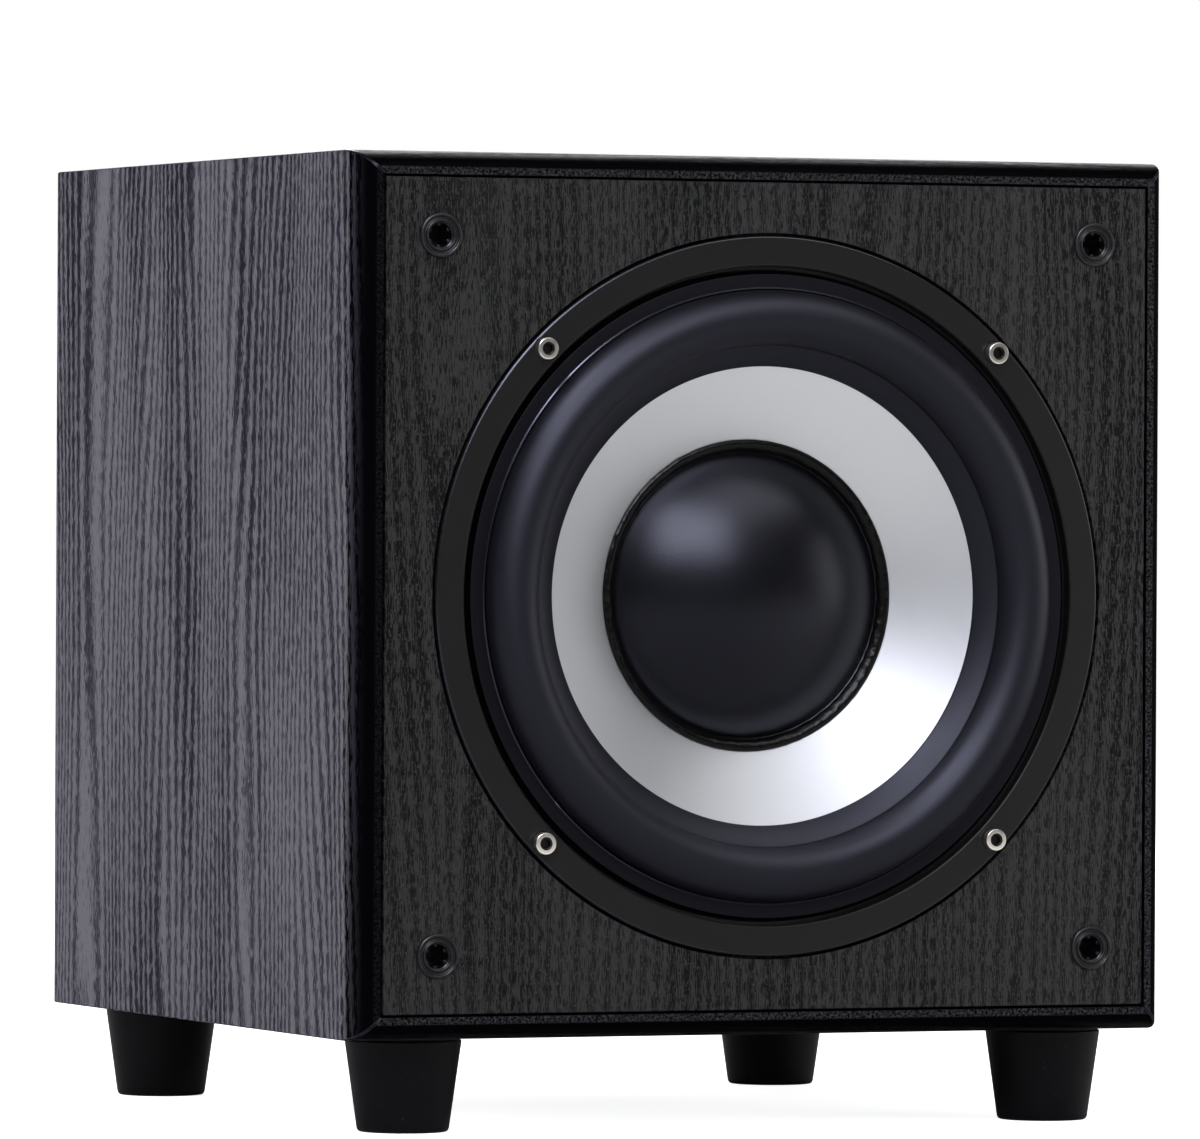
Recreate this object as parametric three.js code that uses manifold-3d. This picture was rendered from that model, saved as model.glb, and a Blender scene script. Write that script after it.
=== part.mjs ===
// A compact active subwoofer: a wood-grain cabinet on four tapered feet, with one long-throw driver in front
// and a plate amplifier and a reflex port behind. Millimetres, +Z up, the driver faces -Y.
// The origin is on the floor, in the middle of the object's box.
import * as THREE from "three";
import { mergeVertices } from "three/addons/utils/BufferGeometryUtils.js";
import Module from "manifold-3d";

const wasm = await Module();
wasm.setup();

// ---------------------------------------------------------------- driving dimensions

// Cabinet
const CABINET_WIDTH = 280;
const CABINET_HEIGHT = 280;
const CABINET_DEPTH = 282;
const PANEL_THICKNESS = 15;
const BAFFLE_THICKNESS = 18;
const BACK_THICKNESS = 12;
const ROUNDOVER_DEPTH = 14.5; // how far back the rounded front edge reaches
const ROUNDOVER_INSET = 6; // how far in it reaches
const LIP_WIDTH = 1.8; // flat rim between the rounded edge and the baffle
const BAFFLE_GAP = 0.7; // shadow line around the baffle
const BACK_REBATE = 7; // how far the back panel reaches into each side panel
const BACK_GAP = 0.3;
const MITRE_GAP = 0.1; // half of the glue line in each mitred corner
const WADDING_THICKNESS = 22;
const WADDING_CLEARANCE = 0.4;

// Feet
const FOOT_HEIGHT = 30;
const FOOT_TOP_RADIUS = 18.6;
const FOOT_BOTTOM_RADIUS = 14.5;
const FOOT_FROM_SIDE = 28.4; // centre to the cabinet's side
const FOOT_FROM_FRONT = 33;
const FOOT_FROM_BACK = 28;
const FOOT_EDGE = 1; // chamfer at both ends
const FOOT_RECESS_RADIUS = 5.5; // counterbore that takes the foot's screw
const FOOT_RECESS_DEPTH = 16;
const FOOT_SCREW_RADIUS = 2.2;
const FOOT_SCREW_HEAD_RADIUS = 4.4;
const FOOT_SCREW_HEAD_HEIGHT = 3;
const FOOT_SCREW_BITE = 12; // how far it reaches into the bottom panel

// Grille sockets
const SOCKET_SPACING = 226.4; // between centres, both ways
const SOCKET_FLANGE_RADIUS = 7;
const SOCKET_FLANGE_HEIGHT = 0.9;
const SOCKET_BODY_RADIUS = 5.2;
const SOCKET_BORE_RADIUS = 3.8;
const SOCKET_DEPTH = 13;
const SOCKET_BORE_DEPTH = 11.5;

// Driver, from the front plane of the baffle backwards
const FLANGE_WIDTH = 9.7;
const FLANGE_RECESS_GAP = 1; // shadow line around the driver
const FLANGE_FRONT = -0.7; // the flange stands this far proud of the baffle
const FLANGE_BEVEL = 0.6;
const GROOVE_WIDTH = 1.2; // between the flange's inner wall and the clamp ring
const BASKET_METAL = 2.5;
const BASKET_WINDOWS = 6;
const BASKET_LEG_WIDTH = 20;
const BASKET_SILL = 3; // metal left before and behind the windows
const DRIVER_GASKET = 1.5;
const CLAMP_WIDTH = 5.9;
const CLAMP_GAP = 0.4; // between the clamp ring and the roll
const CLAMP_FRONT = 0.2;
const CLAMP_THICKNESS = 2.3;
const SURROUND_SHEET = 1; // rubber thickness
const SURROUND_INNER_RADIUS = 79.7; // inside of the roll
const ROLL_WIDTH = 17.6;
const SURROUND_LAND = 6.6; // glued band between the roll and the bare cone
const CONE_EDGE_DEPTH = 1.2; // depth of the cone's front face at the inner side of the roll
const CONE_SLOPE = 0.581; // depth gained for each millimetre towards the axis
const CONE_SHEET = 0.8;
const COIL_RADIUS = 25.5; // outside of the former
const FORMER_STAND = 1; // the former stands this far in front of the cone's neck
const FORMER_SHEET = 0.5;
const COIL_WINDING = 0.9;
const COIL_GLUE = 0.05;
const COIL_HEIGHT = 16;
const DUST_CAP_RADIUS = 48.6;
const DUST_CAP_FLANGE = 3;
const DUST_CAP_HEIGHT = 18;
const DUST_CAP_SHEET = 0.9;
const SPIDER_OUTER_RADIUS = 62;
const SPIDER_DEPTH = 40;
const SPIDER_WAVE = 2;
const SPIDER_SHEET = 0.8;
const SPIDER_WAVES = 4;
const SPIDER_LAND = 4; // flat glued band at each rim
const TOP_PLATE_DEPTH = 49; // front face of the magnetic circuit
const TOP_PLATE_THICKNESS = 8;
const TOP_PLATE_RADIUS = 58;
const MAGNET_RADIUS = 60;
const MAGNET_BORE = 32;
const MAGNET_THICKNESS = 20;
const YOKE_RADIUS = 56;
const YOKE_VENT = 7; // radius of the vent through the pole
const YOKE_THICKNESS = 8;
const GAP_CLEARANCE = 0.6; // between the moving coil and the iron on each side
const SCREW_FROM_EDGE = 4.25; // from the flange's edge to each screw
const SCREW_RADIUS = 2; // M4
const SCREW_HEAD_RADIUS = 3.5;
const SCREW_HEAD_HEIGHT = 4;
const SCREW_LENGTH = 16;
const SCREW_SOCKET = 3; // across the flats
const SCREW_SOCKET_DEPTH = 2;
const SCREW_HOLE_CLEARANCE = 0.3;
const SCREW_SEAT = 0.8; // depth of the counterbore around each head
const SCREW_SEAT_CLEARANCE = 0.4;
const TERMINAL_SIZE = [20, 5, 6]; // width, depth and height of the terminal strip
const WIRE_RADIUS = 1.6;

// Reflex port
const PORT_RADIUS = 25; // bore
const PORT_WALL = 2.5;
const PORT_LENGTH = 110;
const PORT_FLANGE_RADIUS = 37;
const PORT_FLANGE_THICKNESS = 3;
const PORT_FLARE = 8;
const PORT_BELOW_TOP = 52; // centre of the port below the cabinet's top

// Amplifier plate
const PLATE_WIDTH = 200;
const PLATE_HEIGHT = 156;
const PLATE_THICKNESS = 2.5;
const PLATE_CORNER = 5;
const PLATE_ABOVE_BASE = 95; // centre of the plate above the cabinet's underside
const PLATE_OVERLAP = 12; // rim that bears on the back panel
const PLATE_GASKET = 1;
const PLATE_SCREW_INSET = 6;
const PLATE_SCREW_RADIUS = 1.8;
const PLATE_SCREW_HEAD_RADIUS = 3.4;
const PLATE_SCREW_HEAD_HEIGHT = 2;
const PLATE_SCREW_LENGTH = 13;
const PLATE_SCREW_SLOT = [5, 0.9, 1]; // length, width and depth

// What the amplifier plate carries. A place is [x, z] from the middle of the plate.
const CONTROLS_HEIGHT = 40;
const VOLUME_PLACE = [12, CONTROLS_HEIGHT];
const CROSSOVER_PLACE = [52, CONTROLS_HEIGHT];
const PHASE_PLACE = [-26, CONTROLS_HEIGHT];
const LED_PLACE = [-8, CONTROLS_HEIGHT + 10];
const INPUT_PLACE = [-62, CONTROLS_HEIGHT];
const INLET_PLACE = [58, -44];
const ROCKER_PLACE = [14, -44];
const TRANSFORMER_PLACE = [-46, -22];
const KNOB_RADIUS = 12;
const KNOB_HEIGHT = 12;
const KNOB_GAP = 0.5;
const KNOB_BORE_DEPTH = 9;
const KNOB_BORE_CLEARANCE = 0.15;
const KNOB_POINTER = [1.6, 1, 9]; // width, depth and length of the pointer groove
const POT_SHAFT_RADIUS = 3;
const POT_BUSH_RADIUS = 4.5;
const POT_BODY = 17;
const CONTROL_DEPTH = 11; // from the plate's inner face to the circuit board
const SHAFT_FLOOR = 2; // wall left behind the shaft in the potentiometer
const SLIDE_BODY = [20, 9]; // width and height of the phase switch
const SLIDE_LEVER = 3.4; // the lever is square
const SLIDE_LEVER_REACH = 3; // beyond the plate
const SLIDE_CARRIER = [7, 4, 6]; // width, depth and height
const SLIDE_TRAVEL = 4;
const JACK_BLOCK = [32, 15];
const JACK_SPACING = 18;
const JACK_RADIUS = 4.2;
const JACK_BORE_RADIUS = 1.6;
const JACK_REACH = 9;
const LED_RADIUS = 1.6;
const LED_REACH = 1.2;
const INLET_FLANGE = [48, 2.5, 27]; // width, thickness and height
const INLET_FLANGE_CORNER = 6;
const INLET_BODY = [29, 24, 21];
const INLET_CAVITY = [25, 16, 17];
const INLET_PIN = [2, 10.5, 4];
const INLET_PIN_SPACING = 7;
const ROCKER_BEZEL = [16, 2, 26]; // width, thickness and height
const ROCKER_HOUSING = [13.4, 18, 22];
const ROCKER_SIZE = [9, 16]; // width and height of the rocker
const ROCKER_PIVOT = 3; // depth of the pivot below the bezel
const ROCKER_WAIST = 2.2; // from the pivot out to the middle of the rocker
const ROCKER_BELLY = 3.6; // from the pivot in to the rocker's back
const ROCKER_TILT = 10; // degrees to each side
const ROCKER_PIN_RADIUS = 1.4;
const ROCKER_PIN_REACH = 1.2;
const BOARD_SIZE = [164, 1.6, 42];
const BOARD_STUD_RADIUS = 3;
const BOARD_STUD_INSET = 5;
const CAPACITOR_RADIUS = 9;
const CAPACITOR_LENGTH = 28;
const CAPACITOR_PLACE = [44, CONTROLS_HEIGHT];
const TRANSFORMER_RADIUS = 38;
const TRANSFORMER_DEPTH = 36;
const TRANSFORMER_ROUND = 7;
const TRANSFORMER_STUD_RADIUS = 4;

// General clearances and roundness
const SEAT_GAP = 0.3; // between pieces that touch on curved or turned faces
const GLUE_GAP = 0.1; // thickness of a glue line
const RING_SEGMENTS = 48;
const TUBE_SEGMENTS = 32;
const ROUND_SEGMENTS = 24;
const SMALL_SEGMENTS = 16;

// ---------------------------------------------------------------- derived places

const rollRadius = ROLL_WIDTH / 2;
const surroundOuterRadius = SURROUND_INNER_RADIUS + ROLL_WIDTH;
const clampInnerRadius = surroundOuterRadius + CLAMP_GAP;
const clampOuterRadius = clampInnerRadius + CLAMP_WIDTH;
const grooveRadius = clampOuterRadius + GROOVE_WIDTH;
const flangeRadius = grooveRadius + FLANGE_WIDTH;
const screwRing = flangeRadius - SCREW_FROM_EDGE;
const clampBack = CLAMP_FRONT + CLAMP_THICKNESS; // front of the surround's outer lip
const lipSeat = clampBack + SURROUND_SHEET;
const flangeBack = lipSeat + BASKET_METAL;
const recessDepth = flangeBack + DRIVER_GASKET;
const frontReach = rollRadius - CLAMP_FRONT; // the roll is the foremost point
const plateInner = CABINET_DEPTH + PLATE_GASKET;
const plateOuter = plateInner + PLATE_THICKNESS;
const rearReach = plateOuter + KNOB_GAP + KNOB_HEIGHT; // the knobs are the rearmost point
const frontPlane = -(rearReach - frontReach) / 2; // puts the origin in the middle of the box
const driverHeight = FOOT_HEIGHT + CABINET_HEIGHT / 2;
const plateHeight = FOOT_HEIGHT + PLATE_ABOVE_BASE;
const portHeight = FOOT_HEIGHT + CABINET_HEIGHT - PORT_BELOW_TOP;
const lipInset = ROUNDOVER_INSET + LIP_WIDTH;
const magnetFront = TOP_PLATE_DEPTH + TOP_PLATE_THICKNESS;
const yokeFront = magnetFront + MAGNET_THICKNESS;
const boardFront = plateInner - CONTROL_DEPTH;
const boardBack = boardFront - BOARD_SIZE[1];

// ---------------------------------------------------------------- materials

const finish = (color, roughness, metalness = 0) => new THREE.MeshStandardMaterial({ color, roughness, metalness });
const woodGrain = finish(0x2b2a30, 0.55);
const satinBlack = finish(0x1c1c1e, 0.45, 0.2);
const rubber = finish(0x17171b, 0.6);
const anodised = finish(0xc9ced6, 0.35, 0.9);
const matteBlack = finish(0x121214, 0.7);
const nickel = finish(0xd8cfc6, 0.25, 1);
const steel = finish(0x9a9ca0, 0.4, 0.9);
const ferrite = finish(0x2f2f33, 0.8);
const copper = finish(0xb5693a, 0.4, 0.9);
const cloth = finish(0xc2a15a, 0.9);
const wool = finish(0xd9d6cc, 1);
const board = finish(0x1f5a35, 0.6);
const amber = finish(0xd86a1a, 0.2);
const plastic = finish(0x18181a, 0.4);

// ---------------------------------------------------------------- solids

/** A closed manifold solid from a three.js geometry, facing out whichever way the geometry was wound. */
function solid(geometry) {
  const bare = geometry.index ? geometry.toNonIndexed() : geometry.clone();
  for (const name of Object.keys(bare.attributes)) if (name !== "position") bare.deleteAttribute(name);
  const merged = mergeVertices(bare, 1e-4);
  const index = merged.index.array;
  const p = merged.attributes.position.array;
  const corner = (i) => new THREE.Vector3(p[3 * i], p[3 * i + 1], p[3 * i + 2]);
  const triangles = [];
  let volume = 0;
  for (let i = 0; i < index.length; i += 3) {
    const [a, b, c] = index.slice(i, i + 3);
    if (a === b || b === c || c === a) continue;
    triangles.push([a, b, c]);
    volume += corner(a).dot(corner(b).cross(corner(c)));
  }
  const triVerts = new Uint32Array(triangles.flatMap(([a, b, c]) => (volume < 0 ? [a, c, b] : [a, b, c])));
  return new wasm.Manifold(new wasm.Mesh({ numProp: 3, vertProperties: p, triVerts }));
}

/** A three.js geometry from a manifold solid. */
function geometryOf(made) {
  const mesh = made.getMesh();
  const geometry = new THREE.BufferGeometry();
  const stride = mesh.numProp;
  const points = new Float32Array(mesh.numVert * 3);
  for (let i = 0; i < mesh.numVert; i++) {
    points.set(mesh.vertProperties.subarray(i * stride, i * stride + 3), i * 3);
  }
  geometry.setAttribute("position", new THREE.BufferAttribute(points, 3));
  geometry.setIndex(new THREE.BufferAttribute(mesh.triVerts, 1));
  geometry.computeVertexNormals();
  return geometry;
}

/** A box given by its centre and size. */
function block(x, y, z, width, depth, height) {
  return solid(new THREE.BoxGeometry(width, depth, height).translate(x, y, z));
}

/** A solid of revolution about the Y axis from a closed [radius, depth] outline. */
function turned(outline, segments = RING_SEGMENTS) {
  const points = outline.map(([r, y]) => new THREE.Vector2(Math.max(r, 0), y));
  points.push(points[0].clone());
  return solid(new THREE.LatheGeometry(points, segments));
}

/** A plain rod along Y. */
function rod(radius, from, to, segments = ROUND_SEGMENTS) {
  const shape = new THREE.CylinderGeometry(radius, radius, to - from, segments);
  return solid(shape.translate(0, (from + to) / 2, 0));
}

/** A plain tube along Y. */
function tube(inner, outer, from, to, segments = RING_SEGMENTS) {
  return turned([[inner, from], [outer, from], [outer, to], [inner, to]], segments);
}

/** A flat plate in the XZ plane with rounded corners, from one depth to another. */
function plate(width, height, corner, from, to) {
  const [w, h, r] = [width / 2, height / 2, corner];
  const outline = new THREE.Shape();
  outline.absarc(w - r, h - r, r, 0, Math.PI / 2);
  outline.absarc(-w + r, h - r, r, Math.PI / 2, Math.PI);
  outline.absarc(-w + r, -h + r, r, Math.PI, 1.5 * Math.PI);
  outline.absarc(w - r, -h + r, r, 1.5 * Math.PI, 2 * Math.PI);
  const shape = new THREE.ExtrudeGeometry(outline, { depth: to - from, bevelEnabled: false, curveSegments: 4 });
  return solid(shape.rotateX(Math.PI / 2).translate(0, to, 0));
}

/** A round cord along a smooth curve through the given points. */
function cord(points, radius, steps, sides = 8) {
  const path = new THREE.CatmullRomCurve3(points.map((p) => new THREE.Vector3(...p)));
  const section = new THREE.Shape();
  section.absarc(0, 0, radius, 0, 2 * Math.PI);
  const options = { extrudePath: path, steps, curveSegments: sides / 2, bevelEnabled: false };
  return solid(new THREE.ExtrudeGeometry(section, options));
}

/** A solid moved to a place in the XZ plane. */
const at = (made, [x, z]) => made.translate([x, 0, z]);

/** Points of an arc in the [radius, depth] plane, from one angle to another, both in degrees. */
function arc(centreRadius, centreDepth, radius, fromDegrees, toDegrees, steps) {
  return Array.from({ length: steps + 1 }, (_, i) => {
    const t = THREE.MathUtils.degToRad(fromDegrees + ((toDegrees - fromDegrees) * i) / steps);
    return [centreRadius + radius * Math.cos(t), centreDepth + radius * Math.sin(t)];
  });
}

const product = new THREE.Group();

/** Adds one named piece of the product at a place given in the row frame. */
function piece(name, made, material, place = [0, 0, 0]) {
  const mesh = new THREE.Mesh(geometryOf(made), material);
  mesh.name = name;
  mesh.position.set(...place);
  product.add(mesh);
}

const corners = [
  ["front_left", -1, -1],
  ["front_right", 1, -1],
  ["rear_left", -1, 1],
  ["rear_right", 1, 1],
];
const quarters = [
  ["top_left", -1, 1],
  ["top_right", 1, 1],
  ["bottom_left", -1, -1],
  ["bottom_right", 1, -1],
];

// ---------------------------------------------------------------- cabinet

/** The section of a wrap panel as [depth, distance from its outer face] points. */
function panelSection() {
  const rounded = Array.from({ length: 9 }, (_, i) => {
    const t = ((Math.PI / 2) * i) / 8;
    return [ROUNDOVER_DEPTH * (1 - Math.sin(t)), ROUNDOVER_INSET * (1 - Math.cos(t))];
  });
  const backInset = PANEL_THICKNESS - BACK_REBATE;
  return [
    ...rounded,
    [0, lipInset],
    [BAFFLE_THICKNESS, lipInset],
    [BAFFLE_THICKNESS, PANEL_THICKNESS],
    [CABINET_DEPTH - BACK_THICKNESS, PANEL_THICKNESS],
    [CABINET_DEPTH - BACK_THICKNESS, backInset],
    [CABINET_DEPTH, backInset],
    [CABINET_DEPTH, 0],
  ];
}

/** One mitred wrap panel under the XY plane, its outer face up and its length along X. */
function wrapPanel(length) {
  const outline = new THREE.Shape(panelSection().map(([y, inset]) => new THREE.Vector2(y, -inset)));
  const shape = new THREE.ExtrudeGeometry(outline, { depth: 1, bevelEnabled: false });
  const p = shape.attributes.position;
  for (let i = 0; i < p.count; i++) {
    const [y, z, end] = [p.getX(i), p.getY(i), p.getZ(i) > 0.5 ? 1 : -1];
    p.setXYZ(i, end * (length / 2 + z - MITRE_GAP), y, z);
  }
  return solid(shape);
}

const socketPlace = (x, z) => [(x * SOCKET_SPACING) / 2, (z * SOCKET_SPACING) / 2];
const footPlace = (x, y) => [
  x * (CABINET_WIDTH / 2 - FOOT_FROM_SIDE),
  y < 0 ? FOOT_FROM_FRONT : CABINET_DEPTH - FOOT_FROM_BACK,
];

/** Places of the driver's four screws from the driver's axis. */
const driverScrewPlace = (x, z) => [(x * screwRing) / Math.SQRT2, (z * screwRing) / Math.SQRT2];

/** Places of the plate's four screws from the middle of the plate. */
const plateScrewPlace = (x, z) => [
  x * (PLATE_WIDTH / 2 - PLATE_SCREW_INSET),
  z * (PLATE_HEIGHT / 2 - PLATE_SCREW_INSET),
];

/** Cuts a round hole along Y at each given place. */
function drill(made, radius, from, to, places, segments = SMALL_SEGMENTS) {
  return places.reduce((left, place) => left.subtract(at(rod(radius, from, to, segments), place)), made);
}

const driverScrewPlaces = quarters.map(([, x, z]) => driverScrewPlace(x, z));
const plateScrewPlaces = quarters.map(([, x, z]) => plateScrewPlace(x, z));
const screwHole = SCREW_RADIUS + SCREW_HOLE_CLEARANCE;

function wrap() {
  const middle = [0, frontPlane, driverHeight];
  const panels = [
    ["top_panel", 0, CABINET_WIDTH, CABINET_HEIGHT / 2],
    ["right_panel", 90, CABINET_HEIGHT, CABINET_WIDTH / 2],
    ["left_panel", 270, CABINET_HEIGHT, CABINET_WIDTH / 2],
  ];
  for (const [name, turn, length, reach] of panels) {
    piece(name, wrapPanel(length).translate([0, 0, reach]).rotate([0, turn, 0]), woodGrain, middle);
  }
  let bottom = wrapPanel(CABINET_WIDTH).rotate([0, 180, 0]);
  for (const [, x, y] of corners) {
    const [dx, dy] = footPlace(x, y);
    const pilot = rod(FOOT_SCREW_RADIUS + SCREW_HOLE_CLEARANCE, -1, FOOT_SCREW_BITE + 1, SMALL_SEGMENTS);
    bottom = bottom.subtract(pilot.rotate([90, 0, 0]).translate([dx, dy, 0]));
  }
  piece("bottom_panel", bottom, woodGrain, [0, frontPlane, FOOT_HEIGHT]);
}

/** The front baffle, with the driver's stepped opening and the pilot holes of sockets and screws. */
function baffle() {
  const inset = 2 * (lipInset + BAFFLE_GAP);
  const size = [CABINET_WIDTH - inset, BAFFLE_THICKNESS, CABINET_HEIGHT - inset];
  const made = block(0, BAFFLE_THICKNESS / 2, 0, ...size)
    .subtract(rod(flangeRadius + FLANGE_RECESS_GAP, -1, recessDepth, RING_SEGMENTS))
    .subtract(rod(clampOuterRadius, 0, BAFFLE_THICKNESS + 1, RING_SEGMENTS));
  const sockets = quarters.map(([, x, z]) => socketPlace(x, z));
  const drilled = drill(made, SOCKET_BODY_RADIUS + SEAT_GAP, -1, SOCKET_DEPTH + SEAT_GAP, sockets);
  return drill(drilled, screwHole, 0, BAFFLE_THICKNESS + 1, driverScrewPlaces);
}

/** The back panel, with the port's hole, the amplifier's window and its pilot holes. */
function backPanel() {
  const inset = 2 * (PANEL_THICKNESS - BACK_REBATE + BACK_GAP);
  const [front, back] = [CABINET_DEPTH - BACK_THICKNESS, CABINET_DEPTH];
  const middle = (front + back) / 2;
  const amplifier = plateHeight - driverHeight;
  const window = [PLATE_WIDTH - 2 * PLATE_OVERLAP, BACK_THICKNESS + 2, PLATE_HEIGHT - 2 * PLATE_OVERLAP];
  const made = block(0, middle, 0, CABINET_WIDTH - inset, BACK_THICKNESS, CABINET_HEIGHT - inset)
    .subtract(at(rod(PORT_RADIUS + PORT_WALL + SEAT_GAP, front - 1, back + 1, RING_SEGMENTS),
      [0, portHeight - driverHeight]))
    .subtract(block(0, middle, amplifier, ...window));
  const places = plateScrewPlaces.map(([x, z]) => [x, z + amplifier]);
  return drill(made, PLATE_SCREW_RADIUS + SCREW_HOLE_CLEARANCE, front - 1, back + 1, places);
}

/** Wadding on the inside of the top and side panels, from the baffle to the port's inner end. */
function wadding() {
  const [near, far] = [BAFFLE_THICKNESS + WADDING_CLEARANCE, CABINET_DEPTH - PORT_LENGTH - WADDING_CLEARANCE];
  const half = CABINET_WIDTH / 2 - PANEL_THICKNESS - WADDING_CLEARANCE;
  const top = CABINET_HEIGHT / 2 - PANEL_THICKNESS - WADDING_CLEARANCE;
  const middle = (near + far) / 2;
  return block(0, middle, top / 2, 2 * half, far - near, top)
    .subtract(block(0, middle, top / 2 - WADDING_THICKNESS, 2 * (half - WADDING_THICKNESS), far, top));
}

/** A hollow grille socket: a flanged cup pressed into the baffle. */
function grilleSocket() {
  const front = -SOCKET_FLANGE_HEIGHT;
  return turned([
    [0, SOCKET_BORE_DEPTH],
    [SOCKET_BORE_RADIUS, SOCKET_BORE_DEPTH],
    [SOCKET_BORE_RADIUS, front + 0.8],
    [SOCKET_BORE_RADIUS + 0.9, front],
    [SOCKET_FLANGE_RADIUS - 0.6, front],
    [SOCKET_FLANGE_RADIUS, front + 0.5],
    [SOCKET_FLANGE_RADIUS, 0],
    [SOCKET_BODY_RADIUS, 0],
    [SOCKET_BODY_RADIUS, SOCKET_DEPTH],
    [0, SOCKET_DEPTH],
  ], SMALL_SEGMENTS);
}

/** A tapered foot, upright on the floor, with a counterbore for its screw. */
function foot() {
  const hole = FOOT_SCREW_RADIUS + SCREW_HOLE_CLEARANCE;
  return turned([
    [hole, FOOT_HEIGHT],
    [FOOT_TOP_RADIUS - FOOT_EDGE / 2, FOOT_HEIGHT],
    [FOOT_TOP_RADIUS, FOOT_HEIGHT - FOOT_EDGE],
    [FOOT_BOTTOM_RADIUS, FOOT_EDGE],
    [FOOT_BOTTOM_RADIUS - FOOT_EDGE, 0],
    [FOOT_RECESS_RADIUS, 0],
    [FOOT_RECESS_RADIUS, FOOT_RECESS_DEPTH],
    [hole, FOOT_RECESS_DEPTH],
  ], ROUND_SEGMENTS).rotate([90, 0, 0]);
}

/** The screw of a foot, its head in the counterbore and its shank in the bottom panel. */
function footScrew() {
  const seat = FOOT_RECESS_DEPTH;
  return rod(FOOT_SCREW_HEAD_RADIUS, seat - FOOT_SCREW_HEAD_HEIGHT, seat, SMALL_SEGMENTS)
    .add(rod(FOOT_SCREW_RADIUS, seat, FOOT_HEIGHT + FOOT_SCREW_BITE, SMALL_SEGMENTS))
    .rotate([90, 0, 0]);
}

function cabinet() {
  const middle = [0, frontPlane, driverHeight];
  wrap();
  piece("front_baffle", baffle(), woodGrain, middle);
  piece("back_panel", backPanel(), woodGrain, middle);
  piece("damping_wadding", wadding(), wool, middle);
  for (const [name, x, z] of quarters) {
    const [dx, dz] = socketPlace(x, z);
    piece(`grille_socket_${name}`, grilleSocket(), matteBlack, [dx, frontPlane, driverHeight + dz]);
  }
  for (const [name, x, y] of corners) {
    const [dx, dy] = footPlace(x, y);
    piece(`foot_${name}`, foot(), matteBlack, [dx, frontPlane + dy, 0]);
    piece(`foot_screw_${name}`, footScrew(), steel, [dx, frontPlane + dy, 0]);
  }
}

// ---------------------------------------------------------------- driver

/** Depth of the cone's front face at a radius. */
const coneDepth = (radius) => CONE_EDGE_DEPTH + (SURROUND_INNER_RADIUS - radius) * CONE_SLOPE;

/** A socket head cap screw along Y, its head in front and its seat at depth 0. */
function capScrew() {
  const key = rod(SCREW_SOCKET / Math.sqrt(3), -SCREW_HEAD_HEIGHT - 1, SCREW_SOCKET_DEPTH - SCREW_HEAD_HEIGHT, 6);
  return rod(SCREW_HEAD_RADIUS, -SCREW_HEAD_HEIGHT, 0, ROUND_SEGMENTS)
    .add(rod(SCREW_RADIUS, 0, SCREW_LENGTH, SMALL_SEGMENTS))
    .subtract(key);
}

/** The basket: a stepped flange, a windowed bowl, a ledge for the spider and a neck on the top plate. */
function basket() {
  const metal = BASKET_METAL;
  const ledge = SPIDER_DEPTH + SPIDER_SHEET / 2;
  const [bowlTop, bowlFoot] = [clampInnerRadius, SPIDER_OUTER_RADIUS + SEAT_GAP];
  const frame = turned([
    [grooveRadius, FLANGE_FRONT + FLANGE_BEVEL],
    [grooveRadius + FLANGE_BEVEL, FLANGE_FRONT],
    [flangeRadius - FLANGE_BEVEL, FLANGE_FRONT],
    [flangeRadius, FLANGE_FRONT + FLANGE_BEVEL],
    [flangeRadius, flangeBack],
    [bowlTop, flangeBack],
    [bowlFoot + metal, ledge + metal],
    [TOP_PLATE_RADIUS, ledge + metal],
    [TOP_PLATE_RADIUS, TOP_PLATE_DEPTH],
    [TOP_PLATE_RADIUS - metal, TOP_PLATE_DEPTH],
    [TOP_PLATE_RADIUS - metal, ledge],
    [bowlFoot, ledge],
    [bowlTop - metal, lipSeat],
    [grooveRadius, lipSeat],
  ]);
  const [near, far] = [flangeBack + BASKET_SILL, ledge - BASKET_SILL];
  let windows = tube(bowlFoot - metal, bowlTop, near, far);
  for (let i = 0; i < BASKET_WINDOWS; i++) {
    const leg = block(bowlTop / 2, (near + far) / 2, 0, bowlTop + 2, far - near + 2, BASKET_LEG_WIDTH);
    windows = windows.subtract(leg.rotate([0, (360 * (i + 0.5)) / BASKET_WINDOWS, 0]));
  }
  const drilled = drill(frame.subtract(windows), screwHole, -2, flangeBack + 1, driverScrewPlaces);
  const seat = FLANGE_FRONT + SCREW_SEAT;
  return drill(drilled, SCREW_HEAD_RADIUS + SCREW_SEAT_CLEARANCE, -2, seat, driverScrewPlaces, ROUND_SEGMENTS);
}

/** The half-roll surround, with its flat outer lip and the band that is glued on the cone. */
function surround() {
  const middle = (surroundOuterRadius + SURROUND_INNER_RADIUS) / 2;
  const [sheet, steps] = [SURROUND_SHEET, 6];
  const landRadius = SURROUND_INNER_RADIUS - SURROUND_LAND;
  const onCone = (radius, above) => [radius, coneDepth(radius) - above];
  return turned([
    ...arc(middle, CLAMP_FRONT, rollRadius, 0, -180, steps),
    onCone(landRadius, sheet),
    onCone(landRadius, GLUE_GAP),
    onCone(SURROUND_INNER_RADIUS + sheet, GLUE_GAP),
    ...arc(middle, CLAMP_FRONT, rollRadius - sheet, -180, 0, steps),
    [surroundOuterRadius - sheet, lipSeat],
    [clampOuterRadius, lipSeat],
    [clampOuterRadius, clampBack],
    [surroundOuterRadius, clampBack],
  ]);
}

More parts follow.
